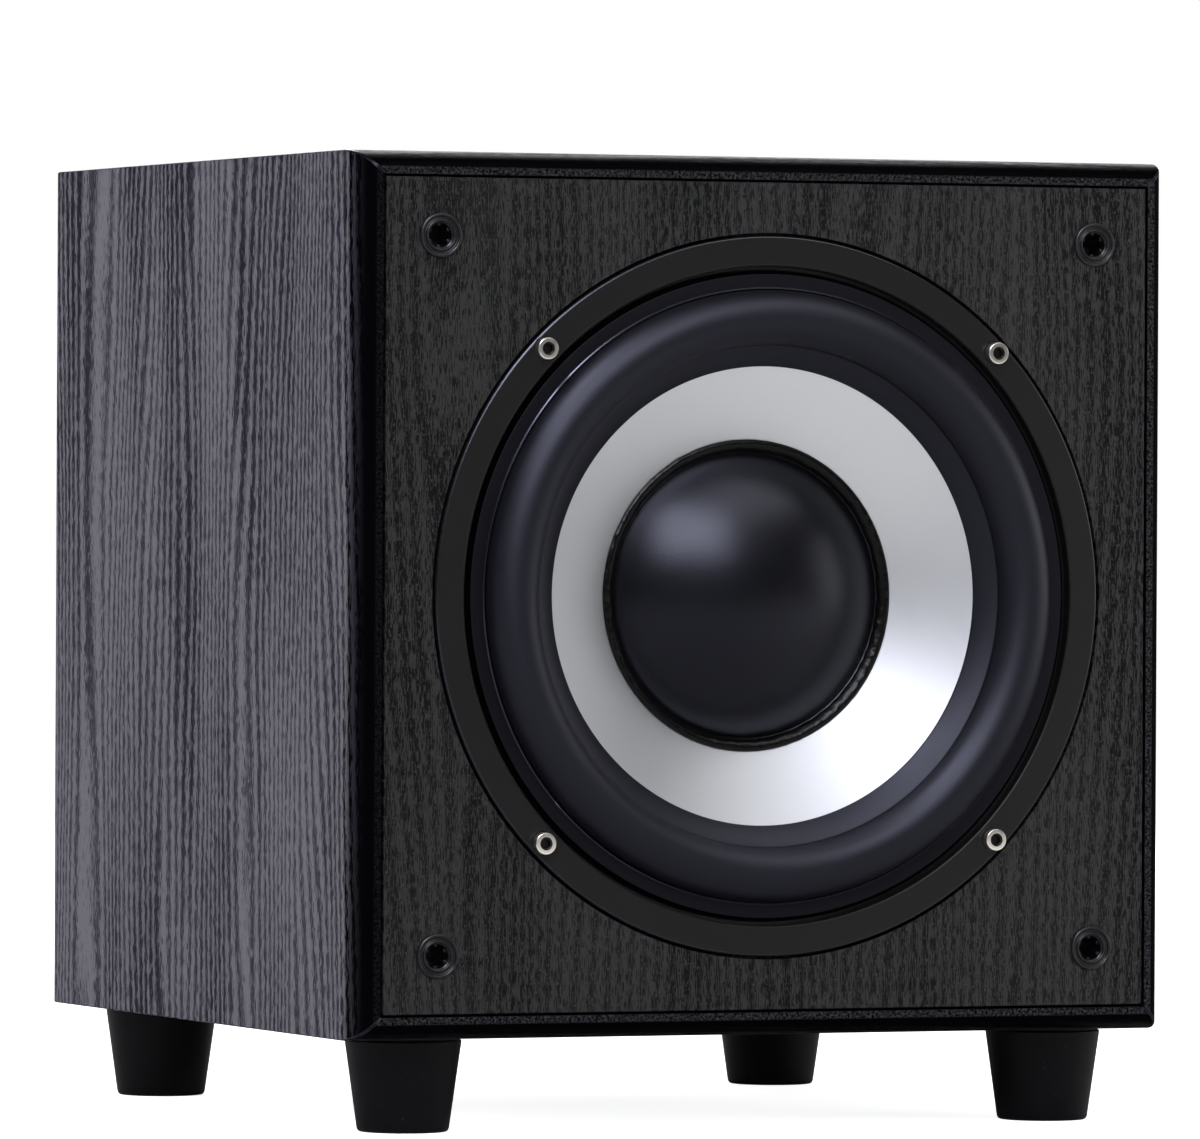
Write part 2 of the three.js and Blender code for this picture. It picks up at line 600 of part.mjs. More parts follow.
/** The straight-sided cone, from the surround down to the coil former. */
function cone() {
  const edge = SURROUND_INNER_RADIUS + SURROUND_SHEET - SEAT_GAP;
  const neck = COIL_RADIUS + GLUE_GAP;
  return turned([
    [edge, coneDepth(edge)],
    [neck, coneDepth(neck)],
    [neck, coneDepth(neck) + CONE_SHEET],
    [edge, coneDepth(edge) + CONE_SHEET],
  ]);
}

/** The domed dust cap with its glued flange, seated on the cone. */
function dustCap() {
  const rim = DUST_CAP_RADIUS - DUST_CAP_FLANGE;
  const [sheet, height, steps] = [DUST_CAP_SHEET, DUST_CAP_HEIGHT, 6];
  const seat = (radius) => coneDepth(radius) - GLUE_GAP;
  const curve = (rim * rim + height * height) / (2 * height);
  const centre = seat(rim) - sheet - height + curve;
  const half = THREE.MathUtils.radToDeg(Math.asin(rim / curve));
  const inner = arc(0, centre, curve - sheet, -90, -90 + half, steps);
  const [footRadius] = inner[steps];
  return turned([
    [DUST_CAP_RADIUS, seat(DUST_CAP_RADIUS)],
    [DUST_CAP_RADIUS, seat(DUST_CAP_RADIUS) - sheet],
    ...arc(0, centre, curve, -90 + half, -90, steps),
    ...inner,
    [footRadius, seat(footRadius)],
  ]);
}

/** The corrugated centring spider. */
function spider() {
  const [near, far] = [COIL_RADIUS + GLUE_GAP, SPIDER_OUTER_RADIUS];
  const front = [[near, SPIDER_DEPTH - SPIDER_SHEET / 2]];
  for (let i = 0; i <= 2 * SPIDER_WAVES; i++) {
    const radius = near + SPIDER_LAND + ((far - near - 2 * SPIDER_LAND) * i) / (2 * SPIDER_WAVES);
    front.push([radius, front[0][1] - (i % 2 ? SPIDER_WAVE : 0)]);
  }
  front.push([far, front[0][1]]);
  return turned([...front, ...front.map(([r, y]) => [r, y + SPIDER_SHEET]).reverse()], TUBE_SEGMENTS);
}

/** The two-core wire from the circuit board to the driver's terminals, by points chosen along its way. */
function speakerWire() {
  return cord([
    [0, 49, -64],
    [2, 60, -74],
    [6, 110, -84],
    [10, 180, -66],
    [10, 230, -24],
    [10, boardBack - 14, -14],
    [10, boardBack - SEAT_GAP, -14],
  ], WIRE_RADIUS, 24);
}

function driver() {
  const middle = [0, frontPlane, driverHeight];
  const coilOuter = COIL_RADIUS + COIL_WINDING;
  const gapMiddle = TOP_PLATE_DEPTH + TOP_PLATE_THICKNESS / 2;
  const [coilFront, coilBack] = [gapMiddle - COIL_HEIGHT / 2, gapMiddle + COIL_HEIGHT / 2];
  const poleRadius = COIL_RADIUS - FORMER_SHEET - GAP_CLEARANCE;

  piece("driver_basket", basket(), satinBlack, middle);
  const gasket = tube(clampOuterRadius + SEAT_GAP, flangeRadius, flangeBack, recessDepth);
  piece("driver_gasket", drill(gasket, screwHole, 0, recessDepth + 1, driverScrewPlaces), rubber, middle);
  piece("clamp_ring", tube(clampInnerRadius, clampOuterRadius, CLAMP_FRONT, clampBack), rubber, middle);
  piece("surround", surround(), rubber, middle);
  piece("cone", cone(), anodised, middle);
  piece("dust_cap", dustCap(), matteBlack, middle);
  const formerFront = coneDepth(COIL_RADIUS) - FORMER_STAND;
  const former = tube(COIL_RADIUS - FORMER_SHEET, COIL_RADIUS, formerFront, coilBack, TUBE_SEGMENTS);
  piece("coil_former", former, cloth, middle);
  const winding = tube(COIL_RADIUS + COIL_GLUE, coilOuter, coilFront, coilBack, TUBE_SEGMENTS);
  piece("voice_coil", winding, copper, middle);
  piece("spider", spider(), cloth, middle);
  const topPlate = tube(coilOuter + GAP_CLEARANCE, TOP_PLATE_RADIUS, TOP_PLATE_DEPTH, magnetFront, TUBE_SEGMENTS);
  piece("top_plate", topPlate, steel, middle);
  const ring = tube(MAGNET_BORE, MAGNET_RADIUS, magnetFront, yokeFront, TUBE_SEGMENTS);
  piece("magnet", ring, ferrite, middle);
  const yoke = rod(YOKE_RADIUS, yokeFront, yokeFront + YOKE_THICKNESS, TUBE_SEGMENTS)
    .add(rod(poleRadius, TOP_PLATE_DEPTH, yokeFront + 1, TUBE_SEGMENTS))
    .subtract(rod(YOKE_VENT, 0, yokeFront + YOKE_THICKNESS + 1, ROUND_SEGMENTS));
  piece("pole_yoke", yoke, steel, middle);
  const ledgeBack = SPIDER_DEPTH + SPIDER_SHEET / 2 + BASKET_METAL;
  const [, terminalDepth, terminalHeight] = TERMINAL_SIZE;
  const terminalMiddle = -(TOP_PLATE_RADIUS + terminalHeight / 2);
  const strip = block(0, ledgeBack + terminalDepth / 2, terminalMiddle, ...TERMINAL_SIZE);
  piece("terminal_strip", strip, board, middle);
  piece("speaker_wire", speakerWire(), rubber, middle);
  for (const [name, x, z] of quarters) {
    const [dx, dz] = driverScrewPlace(x, z);
    const place = [dx, frontPlane + FLANGE_FRONT + SCREW_SEAT, driverHeight + dz];
    piece(`driver_screw_${name}`, capScrew(), nickel, place);
  }
}

// ---------------------------------------------------------------- port and amplifier

/** The port tube, with a flared and flanged mouth on the back panel. */
function portTube() {
  const outer = PORT_RADIUS + PORT_WALL;
  const [inner, flange] = [CABINET_DEPTH - PORT_LENGTH, CABINET_DEPTH + PORT_FLANGE_THICKNESS];
  return turned([
    [outer, inner],
    [outer, CABINET_DEPTH],
    [PORT_FLANGE_RADIUS, CABINET_DEPTH],
    [PORT_FLANGE_RADIUS, flange - 1],
    [PORT_FLANGE_RADIUS - 1, flange],
    ...arc(PORT_RADIUS + PORT_FLARE, flange - PORT_FLARE, PORT_FLARE, 90, 180, 5),
    [PORT_RADIUS, inner],
  ], TUBE_SEGMENTS);
}

/** A block behind the amplifier plate's inner face, at a place on the plate. */
function behindPlate([x, z], width, depth, height) {
  return block(x, plateInner - depth / 2, z, width, depth, height);
}

/** The amplifier's plate with its openings and with the studs that carry the board and the transformer. */
function amplifierPlate() {
  const gap = SEAT_GAP;
  const [from, to] = [plateInner - 1, plateOuter + 1];
  const cutter = ([x, z], width, height) => block(x, plateInner, z, width, 20, height);
  let made = plate(PLATE_WIDTH, PLATE_HEIGHT, PLATE_CORNER, plateInner, plateOuter);
  made = drill(made, PLATE_SCREW_RADIUS + SCREW_HOLE_CLEARANCE, from, to, plateScrewPlaces);
  made = drill(made, POT_BUSH_RADIUS + gap, from, to, [VOLUME_PLACE, CROSSOVER_PLACE], ROUND_SEGMENTS);
  made = drill(made, JACK_RADIUS + gap, from, to, jackPlaces, ROUND_SEGMENTS);
  made = drill(made, LED_RADIUS + gap, from, to, [LED_PLACE]);
  made = made
    .subtract(cutter(PHASE_PLACE, SLIDE_TRAVEL + SLIDE_LEVER + 2 * gap, SLIDE_LEVER + 2 * gap))
    .subtract(cutter(INLET_PLACE, INLET_BODY[0] + 2 * gap, INLET_BODY[2] + 2 * gap))
    .subtract(cutter(ROCKER_PLACE, ROCKER_HOUSING[0] + 2 * gap, ROCKER_HOUSING[2] + 2 * gap));
  for (const place of boardStudPlaces) {
    made = made.add(at(rod(BOARD_STUD_RADIUS, boardFront, plateInner + 1, SMALL_SEGMENTS), place));
  }
  const stud = rod(TRANSFORMER_STUD_RADIUS, plateInner - TRANSFORMER_DEPTH, plateInner + 1, SMALL_SEGMENTS);
  return made.add(at(stud, TRANSFORMER_PLACE));
}
const jackPlaces = [-1, 1].map((side) => [INPUT_PLACE[0] + (side * JACK_SPACING) / 2, INPUT_PLACE[1]]);
const boardStudPlaces = quarters.map(([, x, z]) => [
  x * (BOARD_SIZE[0] / 2 - BOARD_STUD_INSET),
  CONTROLS_HEIGHT + z * (BOARD_SIZE[2] / 2 - BOARD_STUD_INSET),
]);

/** The gasket between the plate and the back panel. */
function plateGasket() {
  const inner = 2 * PLATE_OVERLAP;
  const made = plate(PLATE_WIDTH, PLATE_HEIGHT, PLATE_CORNER, CABINET_DEPTH, plateInner)
    .subtract(block(0, plateInner, 0, PLATE_WIDTH - inner, 20, PLATE_HEIGHT - inner));
  const hole = PLATE_SCREW_RADIUS + SCREW_HOLE_CLEARANCE;
  return drill(made, hole, CABINET_DEPTH - 1, plateInner + 1, plateScrewPlaces);
}

/** A pan head screw with a cross recess, its head on the plate. */
function plateScrew() {
  const [length, width, depth] = PLATE_SCREW_SLOT;
  const top = plateOuter + PLATE_SCREW_HEAD_HEIGHT;
  return rod(PLATE_SCREW_HEAD_RADIUS, plateOuter, top, SMALL_SEGMENTS)
    .add(rod(PLATE_SCREW_RADIUS, plateOuter - PLATE_SCREW_LENGTH, plateOuter, SMALL_SEGMENTS))
    .subtract(block(0, top, 0, length, 2 * depth, width))
    .subtract(block(0, top, 0, width, 2 * depth, length));
}

/** A potentiometer behind the plate, with its bush through the plate. */
function potentiometer() {
  return behindPlate([0, 0], POT_BODY, CONTROL_DEPTH, POT_BODY)
    .add(rod(POT_BUSH_RADIUS, plateInner - 1, plateOuter, ROUND_SEGMENTS))
    .subtract(rod(POT_SHAFT_RADIUS + SEAT_GAP, boardFront + SHAFT_FLOOR, plateOuter + 1, ROUND_SEGMENTS));
}

/** A potentiometer's shaft, from inside its body to inside the knob. */
function potShaft() {
  const end = plateOuter + KNOB_GAP + KNOB_BORE_DEPTH - SEAT_GAP;
  return rod(POT_SHAFT_RADIUS, boardFront + SHAFT_FLOOR + SEAT_GAP, end, ROUND_SEGMENTS);
}

/** A control knob with a chamfered face and a pointer groove. */
function knob() {
  const [near, far] = [plateOuter + KNOB_GAP, plateOuter + KNOB_GAP + KNOB_HEIGHT];
  const bore = POT_SHAFT_RADIUS + KNOB_BORE_CLEARANCE;
  const [width, depth, length] = KNOB_POINTER;
  return turned([
    [bore, near],
    [KNOB_RADIUS, near],
    [KNOB_RADIUS, far - 1.5],
    [KNOB_RADIUS - 1.5, far],
    [0, far],
    [0, near + KNOB_BORE_DEPTH],
    [bore, near + KNOB_BORE_DEPTH],
  ], ROUND_SEGMENTS).subtract(block(0, far, KNOB_RADIUS - length / 2, width, 2 * depth, length));
}

/** The power switch's housing: a bezel, a body through the plate, and the rocker's well with its pivots. */
function rockerHousing() {
  const [width, bezel, height] = ROCKER_BEZEL;
  const front = plateOuter + bezel;
  const well = [ROCKER_SIZE[0] + 2 * SEAT_GAP, 2 * (ROCKER_PIVOT + ROCKER_SIZE[1] / 2), rockerSwing * 2];
  const pivot = rod(ROCKER_PIN_RADIUS + SEAT_GAP, -ROCKER_HOUSING[0] / 2 + 1, ROCKER_HOUSING[0] / 2 - 1,
    SMALL_SEGMENTS).rotate([0, 0, 90]);
  return plate(width, height, 2, plateOuter, front)
    .add(block(0, front - ROCKER_HOUSING[1] / 2, 0, ...ROCKER_HOUSING))
    .subtract(block(0, front, 0, ...well))
    .subtract(pivot.translate([0, front - ROCKER_PIVOT, 0]));
}
const rockerEar = ROCKER_WAIST + (ROCKER_SIZE[1] / 2) * Math.tan(THREE.MathUtils.degToRad(ROCKER_TILT));
const rockerSwing = Math.hypot(ROCKER_SIZE[1] / 2, rockerEar) + SEAT_GAP;

/** The rocker about its pivot, tilted so that its upper half is pressed. */
function rocker() {
  const [width, height] = ROCKER_SIZE;
  const half = height / 2;
  const outline = new THREE.Shape([
    [-half, rockerEar], [0, ROCKER_WAIST], [half, rockerEar],
    [half, 0], [half / 2, -ROCKER_BELLY], [-half / 2, -ROCKER_BELLY], [-half, 0],
  ].map(([z, y]) => new THREE.Vector2(y, z)));
  const body = new THREE.ExtrudeGeometry(outline, { depth: width, bevelEnabled: false });
  const reach = width / 2 + ROCKER_PIN_REACH;
  const turn = new THREE.Matrix4().makeBasis(
    new THREE.Vector3(0, 1, 0), new THREE.Vector3(0, 0, 1), new THREE.Vector3(1, 0, 0));
  return solid(body.translate(0, 0, -width / 2).applyMatrix4(turn))
    .add(rod(ROCKER_PIN_RADIUS, -reach, reach, SMALL_SEGMENTS).rotate([0, 0, 90]))
    .rotate([ROCKER_TILT, 0, 0]);
}

/** The phase switch behind the plate, open in front for its lever. */
function slideSwitch() {
  const [width, height] = SLIDE_BODY;
  const well = [SLIDE_TRAVEL + SLIDE_CARRIER[0] + 2 * SEAT_GAP, SLIDE_CARRIER[1] + SEAT_GAP,
    SLIDE_CARRIER[2] + 2 * SEAT_GAP];
  return behindPlate([0, 0], width, CONTROL_DEPTH, height)
    .subtract(block(0, plateInner - well[1] / 2 + 0.5, 0, well[0], well[1] + 1, well[2]));
}

/** The phase lever on its carrier, at the left end of its travel. */
function slideLever() {
  const post = [SLIDE_LEVER, PLATE_THICKNESS + SLIDE_LEVER_REACH + 1, SLIDE_LEVER];
  const start = -SLIDE_TRAVEL / 2;
  const back = SLIDE_CARRIER[1] - SEAT_GAP;
  return block(start, plateInner - SEAT_GAP - back / 2, 0, SLIDE_CARRIER[0], back, SLIDE_CARRIER[2])
    .add(block(start, plateOuter + SLIDE_LEVER_REACH - post[1] / 2, 0, ...post));
}

/** Two line input jacks on one block. */
function lineInputs() {
  const made = jackPlaces.reduce(
    (left, place) => left.add(at(rod(JACK_RADIUS, plateInner - 1, plateOuter + JACK_REACH, ROUND_SEGMENTS), place)),
    behindPlate(INPUT_PLACE, JACK_BLOCK[0], CONTROL_DEPTH, JACK_BLOCK[1]));
  return drill(made, JACK_BORE_RADIUS, plateInner, plateOuter + JACK_REACH + 1, jackPlaces);
}

/** The power inlet: a flange on the plate, a body through it, and a cavity with three flat pins. */
function powerInlet() {
  const [width, thickness, height] = INLET_FLANGE;
  const front = plateOuter + thickness;
  const [cavityWidth, cavityDepth, cavityHeight] = INLET_CAVITY;
  const [pinWidth, pinLength, pinHeight] = INLET_PIN;
  let made = plate(width, height, INLET_FLANGE_CORNER, plateOuter, front)
    .add(block(0, front - INLET_BODY[1] / 2, 0, ...INLET_BODY))
    .subtract(block(0, front, 0, cavityWidth, 2 * cavityDepth, cavityHeight));
  for (const [side, lift] of [[-1, -2], [0, 2], [1, -2]]) {
    const floor = front - cavityDepth;
    made = made.add(block(side * INLET_PIN_SPACING, floor + pinLength / 2 - 0.5, lift,
      pinWidth, pinLength + 1, pinHeight));
  }
  return made;
}

/** The toroidal transformer, flat against the plate around its stud. */
function transformer() {
  const [near, far] = [plateInner - TRANSFORMER_DEPTH, plateInner];
  const [radius, round] = [TRANSFORMER_RADIUS, TRANSFORMER_ROUND];
  return turned([
    [TRANSFORMER_STUD_RADIUS + SEAT_GAP, near],
    ...arc(radius - round, near + round, round, -90, 0, 3),
    ...arc(radius - round, far - round, round, 0, 90, 3),
    [TRANSFORMER_STUD_RADIUS + SEAT_GAP, far],
  ], ROUND_SEGMENTS);
}

function amplifier() {
  const middle = [0, frontPlane, plateHeight];
  const on = ([x, z]) => [x, frontPlane, plateHeight + z];
  piece("port_tube", portTube(), plastic, [0, frontPlane, portHeight]);
  piece("amplifier_plate", amplifierPlate(), satinBlack, middle);
  piece("amplifier_gasket", plateGasket(), rubber, middle);
  for (const [name, x, z] of quarters) {
    piece(`amplifier_screw_${name}`, plateScrew(), steel, on(plateScrewPlace(x, z)));
  }
  for (const [name, place] of [["volume", VOLUME_PLACE], ["crossover", CROSSOVER_PLACE]]) {
    piece(`${name}_potentiometer`, potentiometer(), steel, on(place));
    piece(`${name}_shaft`, potShaft(), steel, on(place));
    piece(`${name}_knob`, knob(), plastic, on(place));
  }
  piece("power_switch", rockerHousing(), plastic, on(ROCKER_PLACE));
  const [x, z] = ROCKER_PLACE;
  const pivot = plateOuter + ROCKER_BEZEL[1] - ROCKER_PIVOT;
  piece("power_rocker", rocker(), plastic, [x, frontPlane + pivot, plateHeight + z]);
  piece("phase_switch", slideSwitch(), steel, on(PHASE_PLACE));
  piece("phase_lever", slideLever(), plastic, on(PHASE_PLACE));
  piece("line_inputs", lineInputs(), plastic, middle);
  piece("power_inlet", powerInlet(), plastic, on(INLET_PLACE));
  piece("status_light", rod(LED_RADIUS, boardFront, plateOuter + LED_REACH, SMALL_SEGMENTS), amber, on(LED_PLACE));
  const boardMiddle = boardBack + BOARD_SIZE[1] / 2;
  piece("circuit_board", block(0, boardMiddle, CONTROLS_HEIGHT, ...BOARD_SIZE), board, middle);
  const can = rod(CAPACITOR_RADIUS, boardBack - CAPACITOR_LENGTH, boardBack, ROUND_SEGMENTS);
  piece("capacitor", can, plastic, on(CAPACITOR_PLACE));
  piece("transformer", transformer(), amber, on(TRANSFORMER_PLACE));
}

cabinet();
driver();
amplifier();

export default product;
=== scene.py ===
"""A powered subwoofer on four tapered feet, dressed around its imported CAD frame."""

from __future__ import annotations

import logging
import math
from collections.abc import Callable, Iterator, Sequence
from contextlib import contextmanager
from dataclasses import dataclass, field
from enum import Enum

import bpy
from mathutils import Matrix, Vector
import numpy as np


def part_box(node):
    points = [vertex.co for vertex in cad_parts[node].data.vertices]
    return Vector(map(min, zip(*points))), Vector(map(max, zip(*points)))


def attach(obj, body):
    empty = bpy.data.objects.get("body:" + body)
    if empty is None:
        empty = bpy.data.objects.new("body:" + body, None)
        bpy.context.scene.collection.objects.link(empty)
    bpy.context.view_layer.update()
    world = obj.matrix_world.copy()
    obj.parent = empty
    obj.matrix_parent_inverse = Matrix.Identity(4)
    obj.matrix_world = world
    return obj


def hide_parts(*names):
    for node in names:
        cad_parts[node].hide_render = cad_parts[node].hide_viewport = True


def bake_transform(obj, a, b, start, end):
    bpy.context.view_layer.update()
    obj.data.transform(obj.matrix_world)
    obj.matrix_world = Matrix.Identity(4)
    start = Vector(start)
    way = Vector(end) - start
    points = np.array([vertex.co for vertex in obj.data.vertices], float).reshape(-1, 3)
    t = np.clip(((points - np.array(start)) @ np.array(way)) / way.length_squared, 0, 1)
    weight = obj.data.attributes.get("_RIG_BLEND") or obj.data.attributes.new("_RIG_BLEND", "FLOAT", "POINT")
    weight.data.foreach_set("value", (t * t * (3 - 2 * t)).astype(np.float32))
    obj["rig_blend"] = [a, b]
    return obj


logging.basicConfig(level=logging.INFO, format="%(name)s: %(message)s")
log = logging.getLogger("subwoofer")

Point = tuple[float, float]
Colour = tuple[float, float, float]
Object = bpy.types.Object
Material = bpy.types.Material
Node = bpy.types.Node
Tree = bpy.types.NodeTree
Socket = bpy.types.NodeSocket
EdgeTest = Callable[[Vector, Vector], bool]
MM = 0.001
FLAT = MM / 10  # how far from a face's plane an edge still belongs to it
RING_STEPS = 192  # faces around the driver's rings
CUP_STEPS = 64  # faces around a small turned piece
PIN_STEPS = 24  # sides of a small hole or stud
VIOLET: Colour = (0.80, 0.82, 1.0)
CABINET = "cabinet"
CONE_BODY = "cone_assembly"
X_AXIS, Y_AXIS, Z_AXIS = Vector((1, 0, 0)), Vector((0, 1, 0)), Vector((0, 0, 1))
QUARTERS = ("top_left", "top_right", "bottom_left", "bottom_right")
CORNERS = ("front_left", "front_right", "rear_left", "rear_right")
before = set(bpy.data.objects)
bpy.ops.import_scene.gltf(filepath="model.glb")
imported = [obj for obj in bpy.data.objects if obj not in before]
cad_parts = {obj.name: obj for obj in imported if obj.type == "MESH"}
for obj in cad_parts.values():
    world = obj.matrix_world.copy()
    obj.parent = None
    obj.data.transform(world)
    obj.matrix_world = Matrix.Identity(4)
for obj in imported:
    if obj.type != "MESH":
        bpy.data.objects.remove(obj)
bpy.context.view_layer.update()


# --- workshop


def clear_selection() -> None:
    """Leaves edit mode and deselects everything."""
    if bpy.context.object and bpy.context.object.mode != "OBJECT":
        bpy.ops.object.mode_set(mode="OBJECT")
    bpy.ops.object.select_all(action="DESELECT")


def pick(obj: Object) -> None:
    """Makes one object the only selected and the active one.

    Args:
        obj: The object.
    """
    clear_selection()
    obj.select_set(True)
    bpy.context.view_layer.objects.active = obj


@contextmanager
def editing(obj: Object, select_all: bool = True) -> Iterator[None]:
    """Edit mode on one object.

    Args:
        obj: The object to edit.
        select_all: Whether all of its mesh is selected on entry.

    Yields:
        Nothing, once, while edit mode is on.
    """
    pick(obj)
    bpy.ops.object.mode_set(mode="EDIT")
    if select_all:
        bpy.ops.mesh.select_all(action="SELECT")
    yield
    bpy.ops.object.mode_set(mode="OBJECT")


def bevel_edges(obj: Object, wanted: EdgeTest, width: float, segments: int = 2) -> None:
    """Rounds the edges that pass a test.

    Args:
        obj: The object to shape, in object mode.
        wanted: The test, on the places of both ends of an edge.
        width: The bevel's width.
        segments: How many faces the round has.
    """
    with editing(obj):
        bpy.ops.mesh.select_mode(type="EDGE")
        bpy.ops.mesh.select_all(action="DESELECT")
    points, found = obj.data.vertices, False
    for edge in obj.data.edges:
        edge.select = wanted(*(points[i].co for i in edge.vertices))
        found |= edge.select
    if found:
        with editing(obj, select_all=False):
            bpy.ops.mesh.bevel(offset=width, segments=segments, affect="EDGES")


def bevel_back(obj: Object, plane: float, width: float, segments: int = 3) -> None:
    """Rounds the edges that lie in a piece's back face.

    Args:
        obj: The piece.
        plane: The back face's place along Y.
        width: The bevel's width.
        segments: How many faces the round has.
    """
    bevel_edges(obj, lambda a, b: min(a.y, b.y) > plane - FLAT, width, segments)


def arc(centre: Point, radius: float, start: float, end: float, steps: int) -> list[Point]:
    """Points of an arc, with its angles in degrees."""
    turns = (math.radians(start + (end - start) * i / steps) for i in range(steps + 1))
    return [(centre[0] + radius * math.cos(t), centre[1] + radius * math.sin(t)) for t in turns]


def eased(corners: Sequence[tuple[float, ...]], steps: int = 4) -> list[Point]:
    """An outline whose corners are rounded.

    Args:
        corners: Each corner as (radius, depth), or (radius, depth, size of its round).
        steps: How many faces each round has.

    Returns:
        The outline's points.
    """
    made: list[Point] = []
    count = len(corners)
    for i, corner in enumerate(corners):
        here = Vector(corner[:2])
        size = corner[2] if len(corner) > 2 else 0.0
        if size == 0:
            made.append((here.x, here.y))
            continue
        before = (Vector(corners[i - 1][:2]) - here).normalized() * size + here
        after = (Vector(corners[(i + 1) % count][:2]) - here).normalized() * size + here
        for step in range(steps + 1):
            t = step / steps
            at = before * (1 - t) ** 2 + here * 2 * t * (1 - t) + after * t * t
            made.append((at.x, at.y))
    return made


def start_chain(name: str, place: Vector) -> Object:
    """A mesh of one point, ready to be extruded into an outline.

    Args:
        name: The piece's name.
        place: The point.

    Returns:
        The new object, in edit mode with its point selected.
    """
    clear_selection()
    bpy.ops.mesh.primitive_plane_add(size=MM)
    made = bpy.context.object
    made.name = made.data.name = name
    bpy.ops.object.mode_set(mode="EDIT")
    bpy.ops.mesh.select_mode(type="VERT")
    bpy.ops.mesh.select_all(action="SELECT")
    bpy.ops.mesh.merge(type="CENTER")
    bpy.ops.transform.translate(value=place)
    return made


def draw_chain(places: Sequence[Vector], closed: bool) -> None:
    """Extrudes the selected point from place to place.

    Args:
        places: The outline's places, the first of which is the selected point's own.
        closed: Whether the outline returns to its start.
    """
    stops = [*places, places[0]] if closed else list(places)
    for here, there in zip(stops, stops[1:]):
        bpy.ops.mesh.extrude_region_move(TRANSFORM_OT_translate={"value": there - here})
    bpy.ops.mesh.select_all(action="SELECT")
    if closed:
        bpy.ops.mesh.remove_doubles(threshold=MM / 1000)


def turned(
    name: str, outline: Sequence[Point], centre: Vector, steps: int = 96, closed: bool = True
) -> Object:
    """A piece turned about an axis along Y.

    Args:
        name: The piece's name.
        outline: Its section as (radius, depth) points.
        centre: The point of the axis at depth 0.
        steps: How many faces it has around.
        closed: Whether the section closes on itself, instead of ending on the axis.

    Returns:
        The new object.
    """
    places = [centre + Vector((radius, depth, 0)) for radius, depth in outline]
    made = start_chain(name, places[0])
    draw_chain(places, closed)
    bpy.ops.mesh.spin(steps=steps, angle=math.tau, center=centre, axis=Y_AXIS)
    bpy.ops.mesh.select_all(action="SELECT")
    bpy.ops.mesh.remove_doubles(threshold=MM / 500)
    bpy.ops.mesh.normals_make_consistent(inside=False)
    bpy.ops.object.mode_set(mode="OBJECT")
    return made


def extruded(name: str, outline: Sequence[Vector], reach: Vector) -> Object:
    """A straight bar of a closed outline.

    Args:
        name: The piece's name.
        outline: The section's places, all in one plane.
        reach: From the first end to the other.

    Returns:
        The new object.
    """
    made = start_chain(name, outline[0])
    draw_chain(outline, closed=True)
    bpy.ops.mesh.edge_face_add()
    bpy.ops.mesh.extrude_region_move(TRANSFORM_OT_translate={"value": reach})
    bpy.ops.mesh.select_all(action="SELECT")
    bpy.ops.mesh.normals_make_consistent(inside=False)
    bpy.ops.object.mode_set(mode="OBJECT")
    return made


def settle(obj: Object) -> None:
    """Puts an object's place, turn and scale into its mesh."""
    pick(obj)
    bpy.ops.object.transform_apply(location=True, rotation=True, scale=True)


def block(name: str, low: Vector, high: Vector, round_: float = 0.0, segments: int = 3) -> Object:
    """A box between two corners, with rounded edges.

    Args:
        name: The piece's name.
        low: Its lowest corner.
        high: Its highest corner.
        round_: The radius of its edges.
        segments: How many faces each round has.

    Returns:
        The new object.
    """
    clear_selection()
    bpy.ops.mesh.primitive_cube_add(size=1, location=(low + high) / 2, scale=high - low)
    made = bpy.context.object
    made.name = made.data.name = name
    settle(made)
    if round_:
        with editing(made):
            bpy.ops.mesh.bevel(offset=round_, segments=segments, affect="EDGES")
    return made


def rod(name: str, centre: Vector, radius: float, length: float, sides: int = 48) -> Object:
    """A plain rod along Y.

    Args:
        name: Its name.
        centre: The middle of its front end.
        radius: Its radius.
        length: How far it reaches backwards.
        sides: How many faces it has around.

    Returns:
        The new object.
    """
    clear_selection()
    bpy.ops.mesh.primitive_cylinder_add(
        vertices=sides,
        radius=radius,
        depth=length,
        location=centre + Y_AXIS * length / 2,
        rotation=(math.pi / 2, 0, 0),
    )
    made = bpy.context.object
    made.name = made.data.name = name
    settle(made)
    return made


def combine(target: Object, tools: Sequence[Object], operation: str = "DIFFERENCE") -> Object:
    """Cuts tools out of a piece, or joins them to it, and removes the tools.

    Args:
        target: The piece.
        tools: The solids that cut it or join it.
        operation: DIFFERENCE or UNION.

    Returns:
        The piece.
    """
    for tool in tools:
        pick(target)
        bpy.ops.object.modifier_add(type="BOOLEAN")
        modifier = target.modifiers[-1]
        modifier.operation, modifier.object, modifier.solver = operation, tool, "EXACT"
        bpy.ops.object.modifier_apply(modifier=modifier.name)
        bpy.data.objects.remove(tool, do_unlink=True)
    return target


def copied(obj: Object, name: str, offset: Vector) -> Object:
    """A copy with its own mesh.

    Args:
        obj: The object to copy.
        name: The copy's name.
        offset: How far the copy is moved.

    Returns:
        The copy.
    """
    pick(obj)
    bpy.ops.object.duplicate(linked=False)
    made = bpy.context.object
    made.name = made.data.name = name
    bpy.ops.transform.translate(value=offset)
    settle(made)
    return made


def shade(obj: Object, angle: float, level: bool) -> None:
    """Smooth shading up to an angle.

    Args:
        obj: The piece.
        angle: The sharpest edge that is shaded smooth, in degrees.
        level: Whether each flat keeps its own normal up to its eased edges.
    """
    pick(obj)
    bpy.ops.object.shade_smooth_by_angle(angle=math.radians(angle))
    if level:
        bpy.ops.object.modifier_add(type="WEIGHTED_NORMAL")
        modifier = obj.modifiers[-1]
        modifier.mode, modifier.keep_sharp = "FACE_AREA", True
        bpy.ops.object.modifier_apply(modifier=modifier.name)


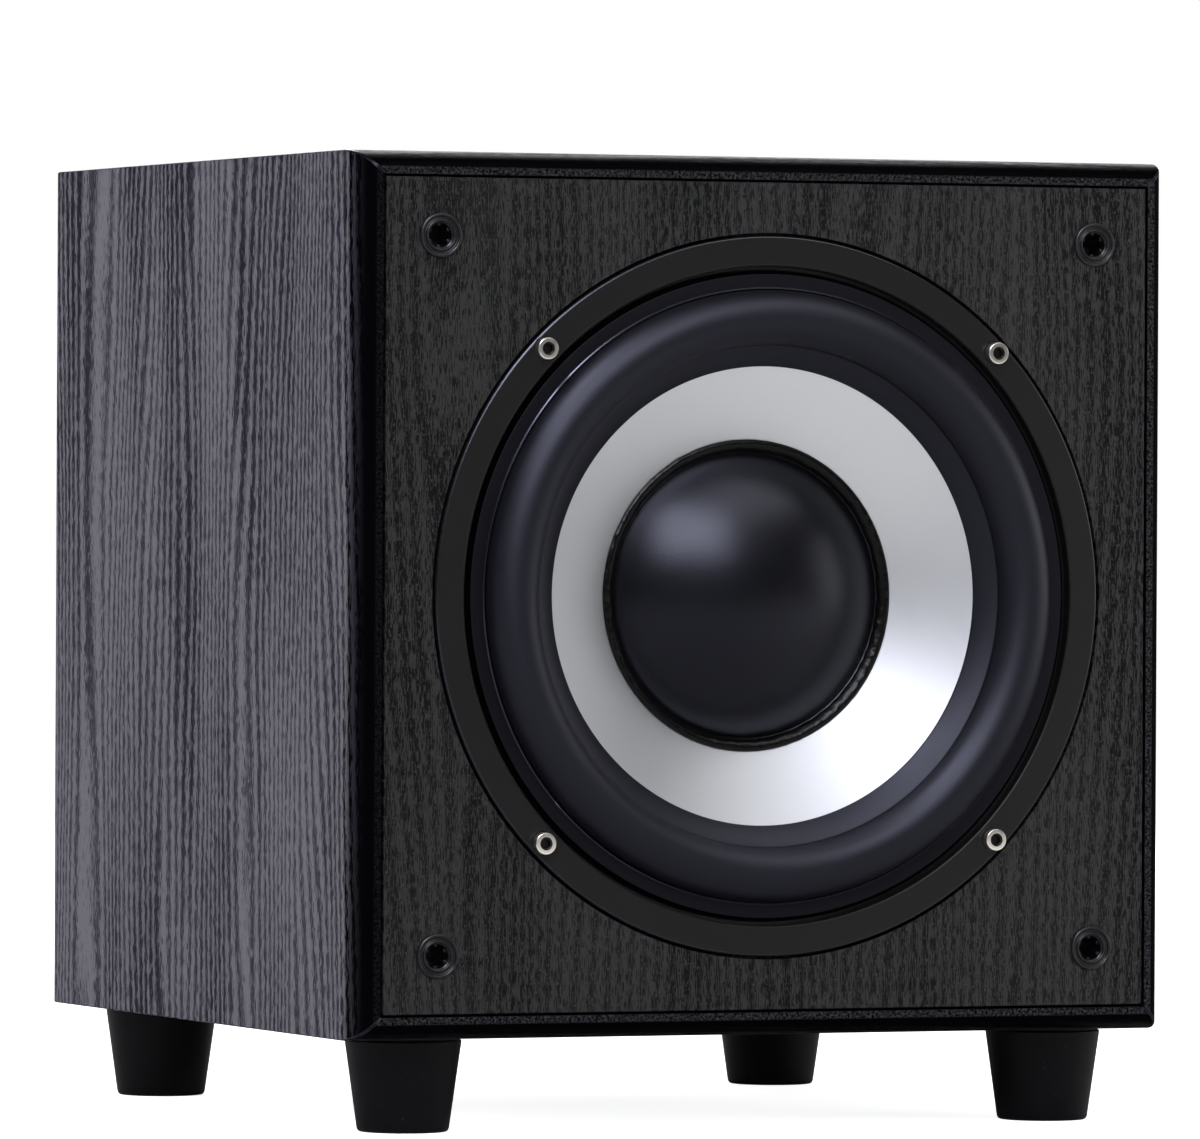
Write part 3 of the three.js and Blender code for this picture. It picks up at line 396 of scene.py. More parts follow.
def ease_all(obj: Object, width: float, segments: int = 2, angle: float = 40.0) -> None:
    """Rounds every sharp edge of a piece with an applied bevel.

    Args:
        obj: The piece.
        width: The bevel's width.
        segments: How many faces each round has.
        angle: The least angle of a sharp edge, in degrees.
    """
    pick(obj)
    bpy.ops.object.modifier_add(type="BEVEL")
    modifier = obj.modifiers[-1]
    modifier.width, modifier.segments = width, segments
    modifier.limit_method, modifier.angle_limit = "ANGLE", math.radians(angle)
    modifier.use_clamp_overlap = True
    bpy.ops.object.modifier_apply(modifier=modifier.name)


def centre_of(node: str) -> Vector:
    """The middle of a CAD node's box."""
    low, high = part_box(node)
    return (low + high) / 2


def at_depth(node: str, depth: float) -> Vector:
    """The middle of a CAD node's box, moved along Y to a depth."""
    middle = centre_of(node)
    return Vector((middle.x, depth, middle.z))


def fit_out(
    obj: Object,
    material: Material,
    slot: str | None,
    body: str | None,
    *nodes: str,
    angle: float = 35.0,
) -> Object:
    """Finishes a piece: its shading, material, body and the nodes that it stands for.

    Args:
        obj: The piece.
        material: Its material.
        slot: Not used.
        body: The CAD body that it rides on, or None for a piece that bends between two.
        *nodes: The CAD nodes that it replaces.
        angle: The sharpest edge that is shaded smooth, in degrees.

    Returns:
        The piece.
    """
    shade(obj, angle, level=body is not None)
    if len(obj.data.materials) < 2:
        obj.data.materials.clear()
        obj.data.materials.append(material)
    if body:
        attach(obj, body)
    if nodes:
        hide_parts(*nodes)
    log.info("%s: %d faces, on %s", obj.name, len(obj.data.polygons), body or "two bodies")
    return obj


def spread(obj: Object, nodes: Sequence[str], ending: str, material: Material, slot: str) -> None:
    """Copies a piece from its own CAD node to its sister nodes, and finishes all of them.

    Args:
        obj: The piece, in the place of the first node.
        nodes: The CAD nodes, all alike.
        ending: What follows the node in each piece's name.
        material: Their material.
        slot: The record's material slot.
    """
    first, *others = nodes
    for node in others:
        made = copied(obj, f"{node}_{ending}", centre_of(node) - centre_of(first))
        fit_out(made, material, slot, CABINET, node)
    obj.name = obj.data.name = f"{first}_{ending}"
    fit_out(obj, material, slot, CABINET, first)


def dress(material: Material, *nodes: str) -> None:
    """Gives CAD nodes that keep their shape a better material.

    Args:
        material: The material.
        *nodes: The CAD nodes.
    """
    for node in nodes:
        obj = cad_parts[node]
        obj.data.materials.clear()
        obj.data.materials.append(material)
        log.info("%s: kept, dressed in %s", node, material.name)


# --- finishes


class Run(Enum):
    """Which way the wood grain runs, as (across, along) row axes."""

    UPRIGHT_ON_SIDE = ("Y", "Z")
    ACROSS_TOP = ("Y", "X")
    UPRIGHT_ON_FACE = ("X", "Z")


class Graph:
    """A short way to add and link nodes in one tree."""

    def __init__(self, tree: Tree) -> None:
        """Works on the given tree."""
        self.tree = tree

    def add(self, kind: str, **settings: object) -> Node:
        """Adds a node and sets its properties and inputs.

        Args:
            kind: The node's type name.
            settings: Properties by name, and unlinked inputs under "inputs".

        Returns:
            The node.
        """
        node = self.tree.nodes.new(kind)
        for key, value in dict(settings.pop("inputs", {})).items():
            self.feed(node.inputs[key], value)
        for key, value in settings.items():
            setattr(node, key, value)
        return node

    def feed(self, socket: Socket, value: object) -> None:
        """Links an output to a socket, or sets the socket's value.

        Args:
            socket: The socket to feed.
            value: An output socket, or a plain value.
        """
        if isinstance(value, Socket):
            self.tree.links.new(value, socket)
        else:
            socket.default_value = value

    def math(self, operation: str, *values: object) -> Socket:
        """A math node's result.

        Args:
            operation: The node's operation.
            *values: Its inputs, each a socket or a number.

        Returns:
            Its result.
        """
        node = self.add("ShaderNodeMath", operation=operation)
        for socket, value in zip(node.inputs, values):
            self.feed(socket, value)
        return node.outputs[0]

    def step(self, value: object, low: float, high: float) -> Socket:
        """A smooth step.

        Args:
            value: What is measured.
            low: Where the step is 0.
            high: Where it is 1.

        Returns:
            The step.
        """
        node = self.add("ShaderNodeMapRange", interpolation_type="SMOOTHSTEP")
        for key, given in (("Value", value), ("From Min", low), ("From Max", high)):
            self.feed(node.inputs[key], given)
        return node.outputs["Result"]

    def vector(self, *values: object) -> Socket:
        """A vector of three values.

        Args:
            *values: Its parts, each a socket or a number.

        Returns:
            The vector.
        """
        node = self.add("ShaderNodeCombineXYZ")
        for socket, value in zip(node.inputs, values):
            self.feed(socket, value)
        return node.outputs[0]

    def noise(self, vector: object, scale: float, detail: float = 2.0) -> Socket:
        """A noise texture's value."""
        inputs = {"Vector": vector, "Scale": scale, "Detail": detail}
        return self.add("ShaderNodeTexNoise", inputs=inputs).outputs["Fac"]

    def mix(self, factor: object, first: object, second: object) -> Socket:
        """A mix of two colours.

        Args:
            factor: The second colour's share.
            first: A colour or a socket.
            second: A colour or a socket.

        Returns:
            The mix.
        """
        node = self.add("ShaderNodeMix", data_type="RGBA")
        colours = [s for s in node.inputs if s.type == "RGBA"]
        self.feed(node.inputs["Factor"], factor)
        for socket, value in zip(colours, (first, second)):
            self.feed(socket, (*value, 1.0) if isinstance(value, tuple) else value)
        return next(s for s in node.outputs if s.type == "RGBA")


def effect_group(
    name: str, inputs: dict[str, object], outputs: Sequence[str]
) -> tuple[Tree, Graph, Node, Node]:
    """An empty shader group with named sockets.

    Args:
        name: The group's name.
        inputs: Each input's name and its value, a number or a vector.
        outputs: The names of its outputs, all numbers.

    Returns:
        The group, its graph, its input node and its output node.
    """
    tree = bpy.data.node_groups.new(name, "ShaderNodeTree")
    for key, value in inputs.items():
        kind = "NodeSocketVector" if isinstance(value, tuple) else "NodeSocketFloat"
        socket = tree.interface.new_socket(key, in_out="INPUT", socket_type=kind)
        socket.default_value = value
    for key in outputs:
        tree.interface.new_socket(key, in_out="OUTPUT", socket_type="NodeSocketFloat")
    graph = Graph(tree)
    return tree, graph, graph.add("NodeGroupInput"), graph.add("NodeGroupOutput")


class Speck(Enum):
    """Noise stretched along the grain: turns per metre across and along, a shift, and layers."""

    SWAY = (15.0, 1.7, 0.0, 1.0)
    WAVER = (50.0, 11.0, 3.0, 1.0)
    RIPPLE = (380.0, 80.0, 5.0, 1.0)
    DASHES = (2600.0, 230.0, 21.0, 2.0)
    FIGURE = (30.0, 4.0, 11.0, 2.0)
    GLINT_SPECKS = (2600.0, 700.0, 31.0, 1.0)


def make_ash_grain() -> Tree:
    """Ash wood grain: growth rings cut lengthwise, with dashes of pores in each ring's dark part.

    Returns:
        The shared node group.
    """
    inputs = {"Across": 0.0, "Along": 0.0, "Seed": 0.0, "Rings": 180.0, "Sway": 13.0, "Dashes": 3.0}
    waver_size, ripple_size, figure_weight = 1.1, 0.34, 0.9
    tree, graph, given, out = effect_group("ash_grain", inputs, ("Pores", "Figure", "PaintedGlints"))
    across, along, seed = (given.outputs[key] for key in ("Across", "Along", "Seed"))

    def speck(kind: Speck) -> Socket:
        """One of the stretched noises.

        Args:
            kind: Which noise.

        Returns:
            Its value.
        """
        per_across, per_along, shift, detail = kind.value
        place = graph.vector(
            graph.math("MULTIPLY", across, per_across),
            graph.math("MULTIPLY", along, per_along),
            graph.math("ADD", seed, shift),
        )
        return graph.noise(place, 1.0, detail)

    rings = graph.math("MULTIPLY", across, given.outputs["Rings"])
    sway = graph.math("MULTIPLY", speck(Speck.SWAY), given.outputs["Sway"])
    waver = graph.math("MULTIPLY", speck(Speck.WAVER), waver_size)
    ripple = graph.math("MULTIPLY", speck(Speck.RIPPLE), ripple_size)
    count = graph.math("ADD", graph.math("ADD", rings, sway), graph.math("ADD", waver, ripple))
    centred = graph.math("MULTIPLY_ADD", graph.math("FRACT", count), 2.0, -1.0)
    crest = graph.math("SUBTRACT", 1.0, graph.math("ABSOLUTE", centred))
    dashes = graph.math("SUBTRACT", speck(Speck.DASHES), 0.5)
    figure = speck(Speck.FIGURE)
    fuzzy = graph.math("MULTIPLY_ADD", dashes, given.outputs["Dashes"], crest)
    density = graph.math("MULTIPLY_ADD", graph.math("SUBTRACT", figure, 0.5), figure_weight, fuzzy)
    graph.feed(out.inputs["Pores"], graph.step(density, 0.40, 0.58))
    graph.feed(out.inputs["Figure"], graph.step(figure, 0.35, 0.65))
    # Mask for painted glints: specks in the pores that are painted light to stand in for glints of light.
    glint_specks = graph.step(speck(Speck.GLINT_SPECKS), 0.60, 0.70)
    graph.feed(out.inputs["PaintedGlints"], graph.math("MULTIPLY", glint_specks, graph.step(density, 0.3, 0.6)))
    return tree


def make_fine_surface() -> Tree:
    """Fine moulded or painted texture, with broad uneven gloss and a little settled dust.

    Returns:
        The shared node group.
    """
    inputs = {"Vector": (0.0, 0.0, 0.0), "Grain": 2500.0}
    cloud_scale, mote_scale = 18.0, 1300.0
    tree, graph, given, out = effect_group("fine_surface", inputs, ("Height", "Gloss", "Dust"))
    vector = given.outputs["Vector"]
    fine = graph.add("ShaderNodeTexNoise", inputs={"Vector": vector, "Detail": 3.0})
    graph.feed(fine.inputs["Scale"], given.outputs["Grain"])
    cloud = {"Vector": vector, "Scale": cloud_scale, "Detail": 4.0, "Roughness": 0.6}
    broad = graph.add("ShaderNodeTexNoise", inputs=cloud)
    graph.feed(out.inputs["Height"], fine.outputs["Fac"])
    graph.feed(out.inputs["Gloss"], graph.math("SUBTRACT", broad.outputs["Fac"], 0.5))
    motes = graph.noise(vector, mote_scale, 1.0)
    graph.feed(out.inputs["Dust"], graph.step(motes, 0.70, 0.78))
    return tree


def new_material(name: str) -> tuple[Material, Graph, Node, Socket]:
    """An empty material.

    Args:
        name: The material's name.

    Returns:
        The material, its graph, its shader node and its Object coordinates.
    """
    material = bpy.data.materials.new(name)
    material.use_nodes = True
    graph = Graph(material.node_tree)
    shader = material.node_tree.nodes["Principled BSDF"]
    place = graph.add("ShaderNodeTexCoord").outputs["Object"]
    return material, graph, shader, place


@dataclass(frozen=True)
class AshVinyl:
    """Black ash vinyl: its two tones, its grain, painted glints in its pores and on its lip, and the darker
    edges at its front and back ends.
    """

    name: str
    run: Run
    light: Colour
    dark: Colour
    seed: float
    roughness: float = 0.5
    pore_roughness: float = 0.14
    rings: float = 180.0
    sway: float = 17.0
    dashes: float = 3.4
    relief: float = 0.12
    cloud: float = 0.12
    cloud_gain: float = 1.6
    # Painted glints: how much, and in what colour, light specks are painted into the pores.
    painted_glints: float = 0.0
    painted_glints_tone: Colour = (0.3, 0.3, 0.3)
    specular: float = 0.15
    ends: tuple[float, float] | None = None
    edge_tone: Colour = (0.0006, 0.0005, 0.0010)
    edge_fleck: Colour = (0.036, 0.034, 0.043)
    edge_reach: float = 0.0145
    edge_waver: float = 2.4 * MM
    edge_gloss: float = 0.06
    # Painted highlight on the lip's front flat: its strength, colour and speck size.
    lip_painted_glint: float = 0.0
    lip_painted_glint_tone: Colour = (0.05, 0.05, 0.055)
    lip_glint_speck_scale: float = 1300.0

    def make(self, grain: Tree) -> Material:
        """Builds the material around the shared grain.

        Args:
            grain: The grain's node group.

        Returns:
            The material.
        """
        material, graph, shader, place = new_material(self.name)
        axes = graph.add("ShaderNodeSeparateXYZ", inputs={"Vector": place})
        across, along = (axes.outputs[axis] for axis in self.run.value)
        values = {"Across": across, "Along": along, "Seed": self.seed, "Rings": self.rings}
        values |= {"Sway": self.sway, "Dashes": self.dashes}
        pattern = graph.add("ShaderNodeGroup", node_tree=grain)
        for key, value in values.items():
            graph.feed(pattern.inputs[key], value)
        pores, figure, painted_glints = (pattern.outputs[key] for key in ("Pores", "Figure", "PaintedGlints"))
        tone = graph.mix(pores, self.light, self.dark)
        cloud = graph.math("MULTIPLY", graph.math("SUBTRACT", 1.0, figure), self.cloud)
        tone = graph.mix(cloud, tone, tuple(c * self.cloud_gain for c in self.light))
        # Painted highlight: light specks mixed into the colour as glints.
        tone = graph.mix(graph.math("MULTIPLY", painted_glints, self.painted_glints), tone, self.painted_glints_tone)
        roughness = graph.math("MULTIPLY_ADD", pores, self.pore_roughness, self.roughness)
        if self.ends is not None:
            tone, edge = self.edged(graph, place, axes.outputs["Y"], pores, tone)
            roughness = graph.math("MULTIPLY_ADD", edge, -self.edge_gloss, roughness)
        graph.feed(shader.inputs["Base Color"], tone)
        graph.feed(shader.inputs["Roughness"], roughness)
        shader.inputs["Specular IOR Level"].default_value = self.specular
        height = graph.math("SUBTRACT", 1.0, pores)
        relief = {"Height": height, "Strength": self.relief, "Distance": MM}
        bump = graph.add("ShaderNodeBump", inputs=relief)
        graph.feed(shader.inputs["Normal"], bump.outputs["Normal"])
        return material

    def edged(
        self, graph: Graph, place: Socket, depth: Socket, pores: Socket, tone: Socket
    ) -> tuple[Socket, Socket]:
        """Darkens the formed front edge, its lip and the cut rear edge, and puts a painted highlight, in
        specks, on the lip.

        Args:
            graph: The material's graph.
            place: The place on the panel.
            depth: Its part along Y.
            pores: Where the pores are.
            tone: The panel's tone.

        Returns:
            The new tone, and where the edges are.
        """
        front, back = self.ends
        reach = graph.math("SUBTRACT", depth, front)
        uneven = graph.math("MULTIPLY_ADD", pores, -self.edge_waver, reach)
        board = graph.step(uneven, self.edge_reach * 0.60, self.edge_reach * 0.95)
        formed = graph.math("SUBTRACT", 1.0, board)
        rear = graph.step(reach, back - front - 0.4 * MM, back - front - 0.1 * MM)
        wood = graph.math("SUBTRACT", 1.0, pores)
        open_grain = graph.math("MULTIPLY", wood, graph.step(reach, 2 * MM, 13 * MM))
        tone = graph.mix(formed, tone, graph.mix(open_grain, self.edge_tone, self.edge_fleck))
        tone = graph.mix(rear, tone, self.edge_tone)
        # Painted highlight: specks of light colour on the lip's front flat, standing in for glints of light.
        lip = graph.math("SUBTRACT", 1.0, graph.step(reach, 0.02 * MM, 0.2 * MM))
        lip_glint_specks = graph.step(graph.noise(place, self.lip_glint_speck_scale, 2.0), 0.34, 0.72)
        glint = graph.math("MULTIPLY", lip, graph.math("MULTIPLY", lip_glint_specks, self.lip_painted_glint))
        return graph.mix(glint, tone, self.lip_painted_glint_tone), graph.math("MAXIMUM", formed, rear)


@dataclass(frozen=True)
class Coat:
    """A plain painted, moulded, rubber or metal surface with its own fine texture."""

    name: str
    colour: Colour
    roughness: float
    metallic: float = 0.0
    grain: float = 2500.0
    relief: float = 0.05
    uneven: float = 0.12
    lift: float = 1.25
    haze: float = 0.0005
    dust: float = 0.04
    dust_tone: Colour = (0.45, 0.43, 0.4)
    specular: float = 0.5
    tint: Colour = (1.0, 1.0, 1.0)
    sheen: float = 0.0
    glow: float = 0.0

    def make(self, surface: Tree) -> Material:
        """Builds the material around the shared fine surface.

        Args:
            surface: The fine surface's node group.

        Returns:
            The material.
        """
        material, graph, shader, place = new_material(self.name)
        texture = graph.add("ShaderNodeGroup", node_tree=surface)
        for key, value in (("Vector", place), ("Grain", self.grain)):
            graph.feed(texture.inputs[key], value)
        gloss = texture.outputs["Gloss"]
        worn = graph.math("MULTIPLY_ADD", gloss, self.uneven, self.roughness)
        lighter = tuple(min(1.0, c * self.lift + self.haze) for c in self.colour)
        tone = graph.mix(graph.math("MULTIPLY_ADD", gloss, 0.5, 0.5), self.colour, lighter)
        specks = graph.math("MULTIPLY", texture.outputs["Dust"], self.dust)
        tone = graph.mix(specks, tone, self.dust_tone)
        graph.feed(shader.inputs["Base Color"], tone)
        graph.feed(shader.inputs["Roughness"], worn)
        shader.inputs["Metallic"].default_value = self.metallic
        shader.inputs["Specular IOR Level"].default_value = self.specular
        shader.inputs["Specular Tint"].default_value = (*self.tint, 1.0)
        shader.inputs["Sheen Weight"].default_value = self.sheen
        if self.glow:
            shader.inputs["Emission Color"].default_value = (*self.colour, 1.0)
            shader.inputs["Emission Strength"].default_value = self.glow
        relief = {"Height": texture.outputs["Height"], "Strength": self.relief, "Distance": MM / 2}
        bump = graph.add("ShaderNodeBump", inputs=relief)
        graph.feed(shader.inputs["Normal"], bump.outputs["Normal"])
        return material


class Finishes:
    """Every material of the object, made once."""

    # The same vinyl in two sets of tones: the wrapped panels' tones are painted lighter, as lit, and the
    # baffle's and back's darker, as painted shade.
    painted_lit_side_light: Colour = (0.112, 0.108, 0.124)
    painted_lit_side_dark: Colour = (0.013, 0.012, 0.018)
    painted_shade_face_light: Colour = (0.0250, 0.0250, 0.0246)
    painted_shade_face_dark: Colour = (0.0024, 0.0025, 0.0025)

    def __init__(self, front: float, back: float) -> None:
        """Builds the shared effects and the materials.

        Args:
            front: The cabinet's front plane along Y.
            back: The cabinet's back plane along Y.
        """
        grain, surface = make_ash_grain(), make_fine_surface()

        def wrap(name: str, run: Run, seed: float, glint: float = 0.15) -> Material:
            """One panel's vinyl.

            Args:
                name: Its name.
                run: Which way its grain runs.
                seed: What sets its grain apart.
                glint: How much painted highlight goes on its lip, in specks.

            Returns:
                The material.
            """
            # The wrapped panels take the lighter tones, painted as lit.
            tones = (self.painted_lit_side_light, self.painted_lit_side_dark)
            ends = (front, back)
            vinyl = AshVinyl(name, run, *tones, seed, specular=0.02, ends=ends, lip_painted_glint=glint)
            return vinyl.make(grain)

        def coat(*values: object, **settings: object) -> Material:
            """One plain finish, from a Coat's values."""
            return Coat(*values, **settings).make(surface)

        # The left lip gets less painted highlight than the other three, as if less lit.
        self.left = wrap("vinyl_left", Run.UPRIGHT_ON_SIDE, 3.1)
        self.right = wrap("vinyl_right", Run.UPRIGHT_ON_SIDE, 17.4, 0.7)
        self.top = wrap("vinyl_top", Run.ACROSS_TOP, 8.2, 0.7)
        self.bottom = wrap("vinyl_bottom", Run.ACROSS_TOP, 29.9, 0.7)
        # The baffle and the back take the darker tones, painted as shade.
        face = {"light": self.painted_shade_face_light, "dark": self.painted_shade_face_dark, "roughness": 0.56}
        face |= {"rings": 230.0, "sway": 16.0, "dashes": 6.8, "run": Run.UPRIGHT_ON_FACE}
        # Only the baffle gets painted glints in its pores.
        baffle = AshVinyl("vinyl_baffle", seed=41.0, painted_glints=0.13, relief=0.3, **face)
        self.baffle = baffle.make(grain)
        self.back = AshVinyl("vinyl_back", seed=55.0, **face).make(grain)
        self.frame_paint = coat(
            "frame_paint", (0.0078, 0.0077, 0.0077), 0.34, grain=3200.0, relief=0.04, specular=0.35
        )
        self.bright_edge = coat(
            "bright_edge", (0.0060, 0.0060, 0.0070), 0.24, relief=0.02, specular=1.0, tint=VIOLET
        )
        # Near-black matt coat for the clamp ring's outer slope: the foam is black, and the extra darkness is
        # painted shade in the groove.
        self.groove_black = coat(
            "groove_black", (0.0003, 0.0003, 0.0003), 0.9, relief=0.1, dust=0.0, specular=0.02
        )
        foam = {"grain": 1800.0, "relief": 0.10, "dust": 0.006, "specular": 0.2, "tint": VIOLET}
        self.ring_foam = coat("ring_foam", (0.0034, 0.0033, 0.0046), 0.50, **foam)
        rubber = {"grain": 2200.0, "relief": 0.12, "dust": 0.006, "specular": 0.66, "tint": VIOLET}
        self.roll_rubber = coat("roll_rubber", (0.0026, 0.0026, 0.0044), 0.45, **rubber)
        spun = {"grain": 5200.0, "relief": 0.05, "uneven": 0.05, "dust": 0.01}
        self.cone_metal = coat("cone_metal", (0.62, 0.630, 0.645), 0.50, 1.0, **spun)
        self.glue = coat("glue", (0.0015, 0.0015, 0.0015), 0.24, grain=900.0, relief=0.3, specular=0.35)
        dome = {"grain": 2200.0, "relief": 0.08, "dust": 0.004, "specular": 0.68, "tint": VIOLET}
        self.cap_plastic = coat("cap_plastic", (0.0006, 0.0006, 0.0010), 0.31, **dome)
        self.nickel = coat("nickel", (0.92, 0.82, 0.72), 0.32, 1.0, relief=0.02, uneven=0.1, dust=0.0)
        self.foot_plastic = coat(
            "foot_plastic", (0.0012, 0.0012, 0.0018), 0.36, grain=1500.0, relief=0.06, specular=0.26
        )
        self.socket_plastic = coat(
            "socket_plastic", (0.0046, 0.0047, 0.0054), 0.32, relief=0.04, specular=0.8
        )
        self.port_plastic = coat("port_plastic", (0.006, 0.006, 0.0065), 0.45, grain=1400.0, relief=0.12)
        self.plate_paint = coat("plate_paint", (0.008, 0.008, 0.009), 0.48, grain=1100.0, relief=0.25)
        self.knob_plastic = coat("knob_plastic", (0.006, 0.006, 0.0065), 0.5, relief=0.08)
        self.gloss_plastic = coat("gloss_plastic", (0.005, 0.005, 0.0055), 0.22, relief=0.02)
        self.white_ink = coat("white_ink", (0.72, 0.72, 0.70), 0.6, relief=0.05)
        self.red_ring = coat("red_ring", (0.45, 0.012, 0.010), 0.35, relief=0.04)
        self.white_ring = coat("white_ring", (0.68, 0.67, 0.64), 0.35, relief=0.04)
        self.socket_shadow = coat("socket_shadow", (0.012, 0.011, 0.010), 0.45, 0.6, relief=0.05)
        self.zinc = coat("zinc", (0.62, 0.63, 0.66), 0.34, 1.0, relief=0.1, uneven=0.2)
        self.brass = coat("brass", (0.72, 0.52, 0.24), 0.3, 1.0, relief=0.06)
        self.lens = coat("lens", (0.85, 0.30, 0.03), 0.15, relief=0.01, glow=0.7)
        self.gasket_rubber = coat("gasket_rubber", (0.012, 0.012, 0.012), 0.65, relief=0.15)
        self.iron = coat("iron", (0.42, 0.43, 0.45), 0.42, 1.0, relief=0.12, uneven=0.25)
        self.ferrite = coat("ferrite", (0.035, 0.035, 0.037), 0.75, relief=0.3)
        self.copper = coat("copper", (0.78, 0.38, 0.2), 0.32, 1.0, relief=0.15)
        self.resin_cloth = coat("resin_cloth", (0.42, 0.28, 0.09), 0.8, grain=900.0, relief=0.5)
        self.wool = coat("wool", (0.62, 0.60, 0.54), 0.95, grain=500.0, relief=0.9, sheen=0.4)
        self.circuit = coat("circuit", (0.012, 0.09, 0.035), 0.4, relief=0.05)
        self.tape = coat("tape", (0.72, 0.5, 0.08), 0.35, relief=0.1)


# --- cabinet


@dataclass
class CabinetWrap:
    """The four mitred panels around the cabinet, with their rounded front edge."""

    kit: Finishes
    panel: float = 15 * MM
    round_depth: float = 14.5 * MM
    round_inset: float = 6 * MM
    lip: float = 1.8 * MM
    baffle: float = 18 * MM
    back: float = 12 * MM
    rebate: float = 7 * MM
    mitre: float = 0.1 * MM
    arris: float = 0.45 * MM
    polish: float = 0.6 * MM
    round_steps: int = 14

    def section(self, depth: float) -> list[Point]:
        """The panel's section.

        Args:
            depth: The cabinet's depth.

        Returns:
            Its points as (depth, inset).
        """
        rounded = []
        for i in range(self.round_steps + 1):
            t = math.pi / 2 * i / self.round_steps
            inset = self.round_inset * (1 - math.cos(t))
            rounded.append((self.round_depth * (1 - math.sin(t)), inset))
        lip = self.round_inset + self.lip
        ease = self.arris / 2
        inner = self.panel - self.rebate
        return [
            *rounded,
            (0.0, lip - ease),
            (ease, lip),
            (self.baffle, lip),
            (self.baffle, self.panel),
            (depth - self.back, self.panel),
            (depth - self.back, inner),
            (depth, inner),
            (depth, self.arris),
            (depth - self.arris, 0.0),
        ]

    def build(self, name: str, outward: Vector, along: Vector, material: Material) -> Object:
        """One panel.

        Args:
            name: The CAD node that it stands for.
            outward: The direction of its outer face.
            along: The direction of its length.
            material: Its vinyl.

        Returns:
            The panel, cut at both mitres and polished along their front edges.
        """
        low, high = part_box(name)
        middle = (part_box("left_panel")[0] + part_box("right_panel")[1]) / 2
        size = high - low
        reach = abs(size.dot(along)) / 2 + self.mitre
        face = max((low - middle).dot(outward), (high - middle).dot(outward))
        centre = Vector((middle.x, low.y, middle.z))
        start = centre + outward * face - along * (reach + self.panel)
        outline = [start + Y_AXIS * depth - outward * inset for depth, inset in self.section(size.y)]
        panel = extruded(f"{name}_vinyl", outline, along * 2 * (reach + self.panel))
        ends = []
        for end in (along, -along):
            corner = centre + outward * face + end * (reach - self.mitre)
            ends.append((corner, (end - outward).normalized()))
        for corner, across in ends:
            with editing(panel):
                bpy.ops.mesh.bisect(
                    plane_co=corner, plane_no=across, use_fill=True, clear_outer=True
                )

            def on_mitre(a: Vector, b: Vector) -> bool:
                """Whether an edge is this mitre's outer one, in front of the eased rear one.

                Args:
                    a: One end of the edge.
                    b: Its other end.

                Returns:
                    True for that edge.
                """
                near = (abs((p - corner).dot(across)) < MM / 20 for p in (a, b))
                outside = ((p - corner).dot(outward) > -self.round_inset - self.lip for p in (a, b))
                level = abs((b - a).dot(outward)) < self.round_inset / 3
                ahead = max((a - centre).y, (b - centre).y) < size.y - self.arris / 2
                return all(near) and all(outside) and level and ahead

            bevel_edges(panel, on_mitre, self.arris)
        panel.data.materials.append(material)
        panel.data.materials.append(self.kit.bright_edge)
        for corner, across in ends:
            for side in panel.data.polygons:
                near = abs((side.center - corner).dot(across)) < self.polish
                turned_away = abs(side.normal.dot(across)) < 0.95
                if near and turned_away and (side.center - centre).y < self.round_depth:
                    side.material_index = 1
        return panel

    def make(self) -> None:
        """Builds and dresses the four panels."""
        plan = (
            ("top_panel", Z_AXIS, X_AXIS, self.kit.top),
            ("bottom_panel", -Z_AXIS, X_AXIS, self.kit.bottom),
            ("left_panel", -X_AXIS, Z_AXIS, self.kit.left),
            ("right_panel", X_AXIS, Z_AXIS, self.kit.right),
        )
        for name, outward, along, material in plan:
            fit_out(self.build(name, outward, along, material), material, "vinyl_wood", CABINET, name)


@dataclass
class Baffle:
    """The front baffle with its stepped opening and the holes of its sockets."""

    kit: Finishes
    recess_gap: float = 1 * MM
    recess: float = 7 * MM
    clamp_ring: float = 103.6 * MM
    socket_hole: float = 5.5 * MM
    socket_depth: float = 13.3 * MM
    edge: float = 0.35 * MM

    def make(self) -> None:
        """Builds and dresses the baffle."""
        low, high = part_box("front_baffle")
        made = block("front_baffle_vinyl", low, high)
        bevel_edges(made, lambda a, b: max(a.y, b.y) < low.y + FLAT, self.edge)
        front = at_depth("driver_basket", low.y - MM)
        ring_low, ring_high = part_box("driver_basket")
        radius = (ring_high.x - ring_low.x) / 2 + self.recess_gap
        tools = [
            rod("recess", front, radius, self.recess + MM, RING_STEPS),
            rod("opening", front, self.clamp_ring, high.y - low.y + 2 * MM, 128),
        ]
        for corner in QUARTERS:
            hole = at_depth(f"grille_socket_{corner}", low.y - MM)
            tools.append(rod("socket_hole", hole, self.socket_hole, self.socket_depth + MM))
        combine(made, tools)
        fit_out(made, self.kit.baffle, "vinyl_wood", CABINET, "front_baffle")


